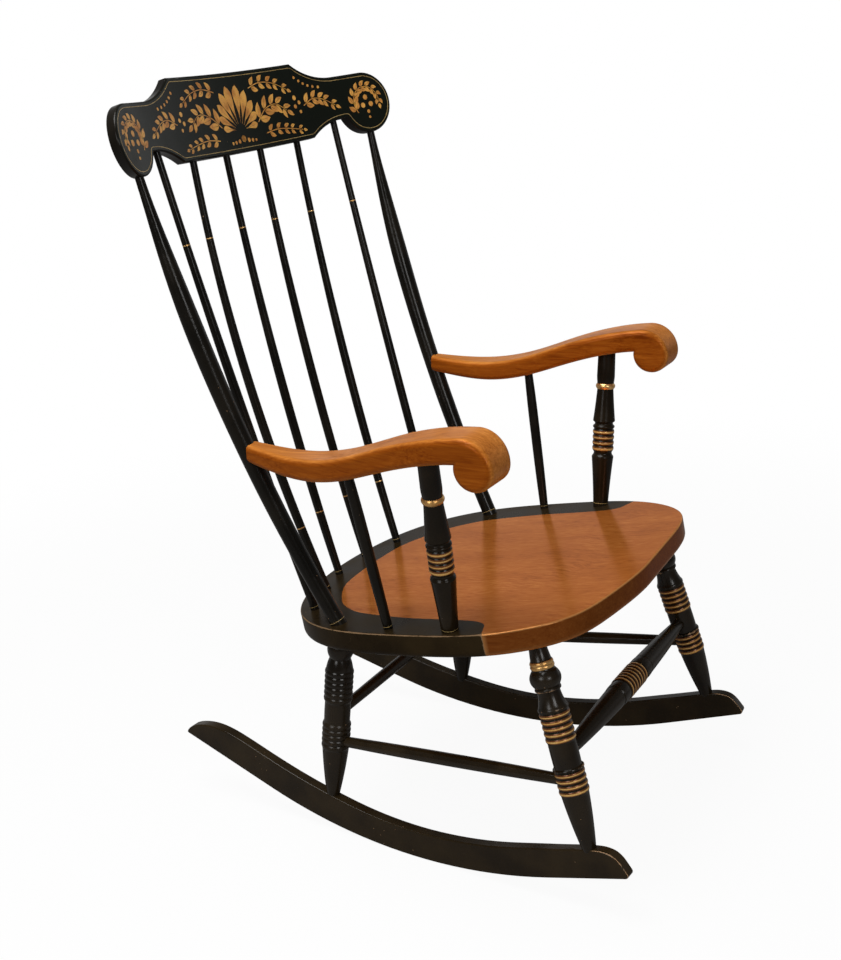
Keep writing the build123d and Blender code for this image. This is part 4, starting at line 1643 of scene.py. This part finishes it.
    def spray(self, skin: Skin, line: Sequence[Flat], leaves: int, length: float, width: float) -> None:
        """Adds a stem with leaves on both its sides.

        Args:
            skin: Mesh that takes it.
            line: Points that the stem passes through.
            leaves: Pairs of leaves.
            length: Length of its longest leaves.
            width: Their width.
        """
        stem = smooth_line(line, self.stem_steps)
        last = len(stem) - 1
        thick = [self.stem_half - self.stem_taper * i / last for i in range(last + 1)]
        self.stroke(skin, stem, thick, [-t for t in thick])
        for k in range(leaves):
            share = (k + self.leaf_start) / (leaves + self.leaf_rest)
            i = min(int(share * last), last - 1)
            angle = bearing(stem[i], stem[i + 1])
            size = 1.0 - self.leaf_shrink * share
            for sign in (1, -1):
                foot = beside(stem[i], self.foot_gap, angle + sign * self.foot_turn)
                way, curl = angle + sign * self.leaf_turn, -sign * self.leaf_curl
                self.leaf(skin, foot, way, length * size, width * size, curl)
        angle = bearing(stem[-3], stem[-1])
        tip = beside(stem[-1], self.tip_gap, angle)
        self.leaf(skin, tip, angle, length * self.tip_size, width * self.tip_size)

    def skin(self) -> Skin:
        """Builds the whole ornament.

        Returns:
            Its front, on the rail's face.
        """
        skin = Skin()
        for angle, length in self.lobes:
            foot = beside(self.lobe_foot, self.lobe_ring, angle)
            width = self.lobe_width - self.lobe_thinning * (self.lobes[0][0] - angle)
            self.leaf(skin, foot, angle, length, width, fullness=self.lobe_fullness)
        for line, length, width in self.sprays:
            self.spray(skin, line, self.spray_pairs, length, width)
        arc = [beside(self.rail.ear, self.arc_radius, turn) for turn in range(*self.arc_turns)]
        self.spray(skin, arc, self.arc_pairs, *self.arc_leaf)
        ear_x, ear_h = self.rail.ear
        in_ear = [(ear_x + dx, ear_h + dh, radius) for dx, dh, radius in self.ear_berries]
        for x, h, radius in (*self.berries, *in_ear):
            self.berry(skin, (x, h), radius)
        return skin


@dataclass
class Runners:
    """Two curved runners."""

    def build(self, palette: Palette) -> None:
        """Dresses both runners."""
        dress(palette.runner, *both("runner"))


@dataclass
class Studio:
    """White studio: floor, soft light, and the camera of the photograph."""

    place: Place = (-1715.4, -946.0, 1147.9)
    azimuth: float = -59.369
    elevation: float = 17.890
    roll: float = -3.856
    lens: float = 52.714
    sensor: float = 36.0
    shift: Flat = (0.0024, -0.0132)
    ambient: float = 0.13
    wall_way: Place = (0.86, 0.5, 0.0)
    wall: Flat = (0.08, 0.55)      # brightness in reflections, away from the wall and on it
    wall_top: Flat = (0.12, 0.5)
    wall_sides: Flat = (0.0, 0.8)
    floor_size: float = 30.0
    floor_lit: Colour = (0.3, 0.29, 0.28)
    floor_shown: Colour = (0.95, 0.95, 0.95)
    floor_roughness: float = 0.9
    floor_specular: float = 0.1
    shadow_share: float = 0.06
    shadow_reach: Flat = (0.9, 2.2)
    aim: Place = (0.0, 0.0, 0.5)
    # Name, place, width and power of each lamp
    lamps: tuple[tuple[str, Place, float, float], ...] = (
        ("overhead_box", (-0.7, 0.4, 3.0), 1.5, 58.0),
        ("side_box", (-3.0, 0.3, 1.7), 1.2, 22.0),
        ("front_box", (-2.0, -2.7, 1.8), 1.0, 24.0),
    )

    def camera(self) -> None:
        """Sets up the camera."""
        az, el, roll = (math.radians(v) for v in (self.azimuth, self.elevation, self.roll))
        ahead = Vector((-math.sin(az) * math.cos(el), math.cos(az) * math.cos(el), -math.sin(el)))
        level = Vector((math.cos(az), math.sin(az), 0.0))
        above = level.cross(ahead)
        right = level * math.cos(roll) + above * math.sin(roll)
        up = above * math.cos(roll) - level * math.sin(roll)
        data = bpy.data.cameras.new("photo_camera")
        data.sensor_width = self.sensor
        data.lens = self.lens
        data.shift_x, data.shift_y = self.shift
        camera = bpy.data.objects.new("photo_camera", data)
        turned = Matrix((right, up, -ahead)).transposed().to_4x4()
        camera.matrix_world = Matrix.Translation(shop(*self.place)) @ turned
        bpy.context.scene.collection.objects.link(camera)
        bpy.context.scene.camera = camera

    @staticmethod
    def seen(graph: Graph, mirrored: Value) -> Socket:
        """How white the backdrop is to a ray.

        Args:
            graph: Graph that takes the nodes.
            mirrored: Its strength in reflections.

        Returns:
            1 for rays that show the backdrop itself, its strength for reflected ones, 0 for rays of light.
        """
        path = graph.add("ShaderNodeLightPath")
        shown = graph.math("MAXIMUM", path.outputs["Is Camera Ray"], path.outputs["Is Transmission Ray"])
        return graph.math("MAXIMUM", shown, graph.math("MULTIPLY", path.outputs["Is Glossy Ray"], mirrored))

    def world(self) -> None:
        """Sets up the surroundings: a pale wall behind the chair in a dim room."""
        world = bpy.data.worlds.new("studio")
        world.use_nodes = True
        bpy.context.scene.world = world
        graph = Graph(world.node_tree)
        way = graph.result("ShaderNodeTexCoord", {}, "Generated")
        low = graph.math("SUBTRACT", 1.0, graph.ease(graph.part(way, "Z"), *self.wall_top))
        wall = graph.math("MULTIPLY", graph.ease(graph.dot(way, self.wall_way), *self.wall_sides), low)
        seen = graph.math("MAXIMUM", self.seen(graph, graph.spread(wall, *self.wall)), self.ambient)
        graph.fill(world.node_tree.nodes["Background"], {"Color": (1.0, 1.0, 1.0), "Strength": seen})

    def floor(self) -> None:
        """Lays the pale floor, which keeps the chair's shadow and is white further out."""
        half = self.floor_size / 2
        skin = Skin()
        corners = ((-half, -half), (half, -half), (half, half), (-half, half))
        skin.add_face(skin.add_points([Vector((x, y, 0.0)) for x, y in corners]))
        material, graph, shader = finish_sheet("pale_floor")
        straight = graph.result("ShaderNodeLightPath", {}, "Is Camera Ray")
        graph.fill(shader, {
            "Base Color": graph.mix(straight, self.floor_lit, self.floor_shown),
            "Roughness": self.floor_roughness,
            "Specular IOR Level": self.floor_specular,
        })
        far = graph.result("ShaderNodeVectorMath", {0: graph.place()}, "Value", operation="LENGTH")
        white = graph.spread(graph.ease(far, *self.shadow_reach), 1.0 - self.shadow_share, 1.0)
        share = graph.math("MULTIPLY", self.seen(graph, self.wall[0]), white)
        glow = graph.result("ShaderNodeEmission", {})
        blend = graph.result("ShaderNodeMixShader", {0: share, 1: shader.outputs[0], 2: glow})
        graph.fill(material.node_tree.nodes["Material Output"], {"Surface": blend})
        skin.piece("studio_floor", (material,))

    def lamp(self, name: str, place: Place, size: float, power: float) -> None:
        """Hangs a soft lamp that points at the chair.

        Args:
            name: The lamp's name.
            place: Where it hangs, in metres.
            size: Its width.
            power: Its power in watts.
        """
        data = bpy.data.lights.new(name, "AREA")
        data.size = size
        data.energy = power
        lamp = bpy.data.objects.new(name, data)
        lamp.location = place
        way = Vector(self.aim) - Vector(place)
        lamp.rotation_euler = way.to_track_quat("-Z", "Y").to_euler()
        bpy.context.scene.collection.objects.link(lamp)

    def build(self) -> None:
        """Sets up the whole studio."""
        bpy.context.scene.view_settings.view_transform = "Standard"
        self.camera()
        self.world()
        self.floor()
        for lamp in self.lamps:
            self.lamp(*lamp)


def main() -> None:
    """Builds the studio and the chair."""
    logging.basicConfig(level=logging.INFO, format="%(message)s")
    Studio().build()
    palette = Palette(Effects())
    seat, crest = SeatPlank(), CrestRail()
    seat.build(palette)
    Runners().build(palette)
    Legs().build(palette, seat)
    Stretchers().build(palette)
    Arms().build(palette, seat)
    BackRods().build(palette, seat, crest)
    crest.build(palette)


if __name__ == "__main__":
    main()
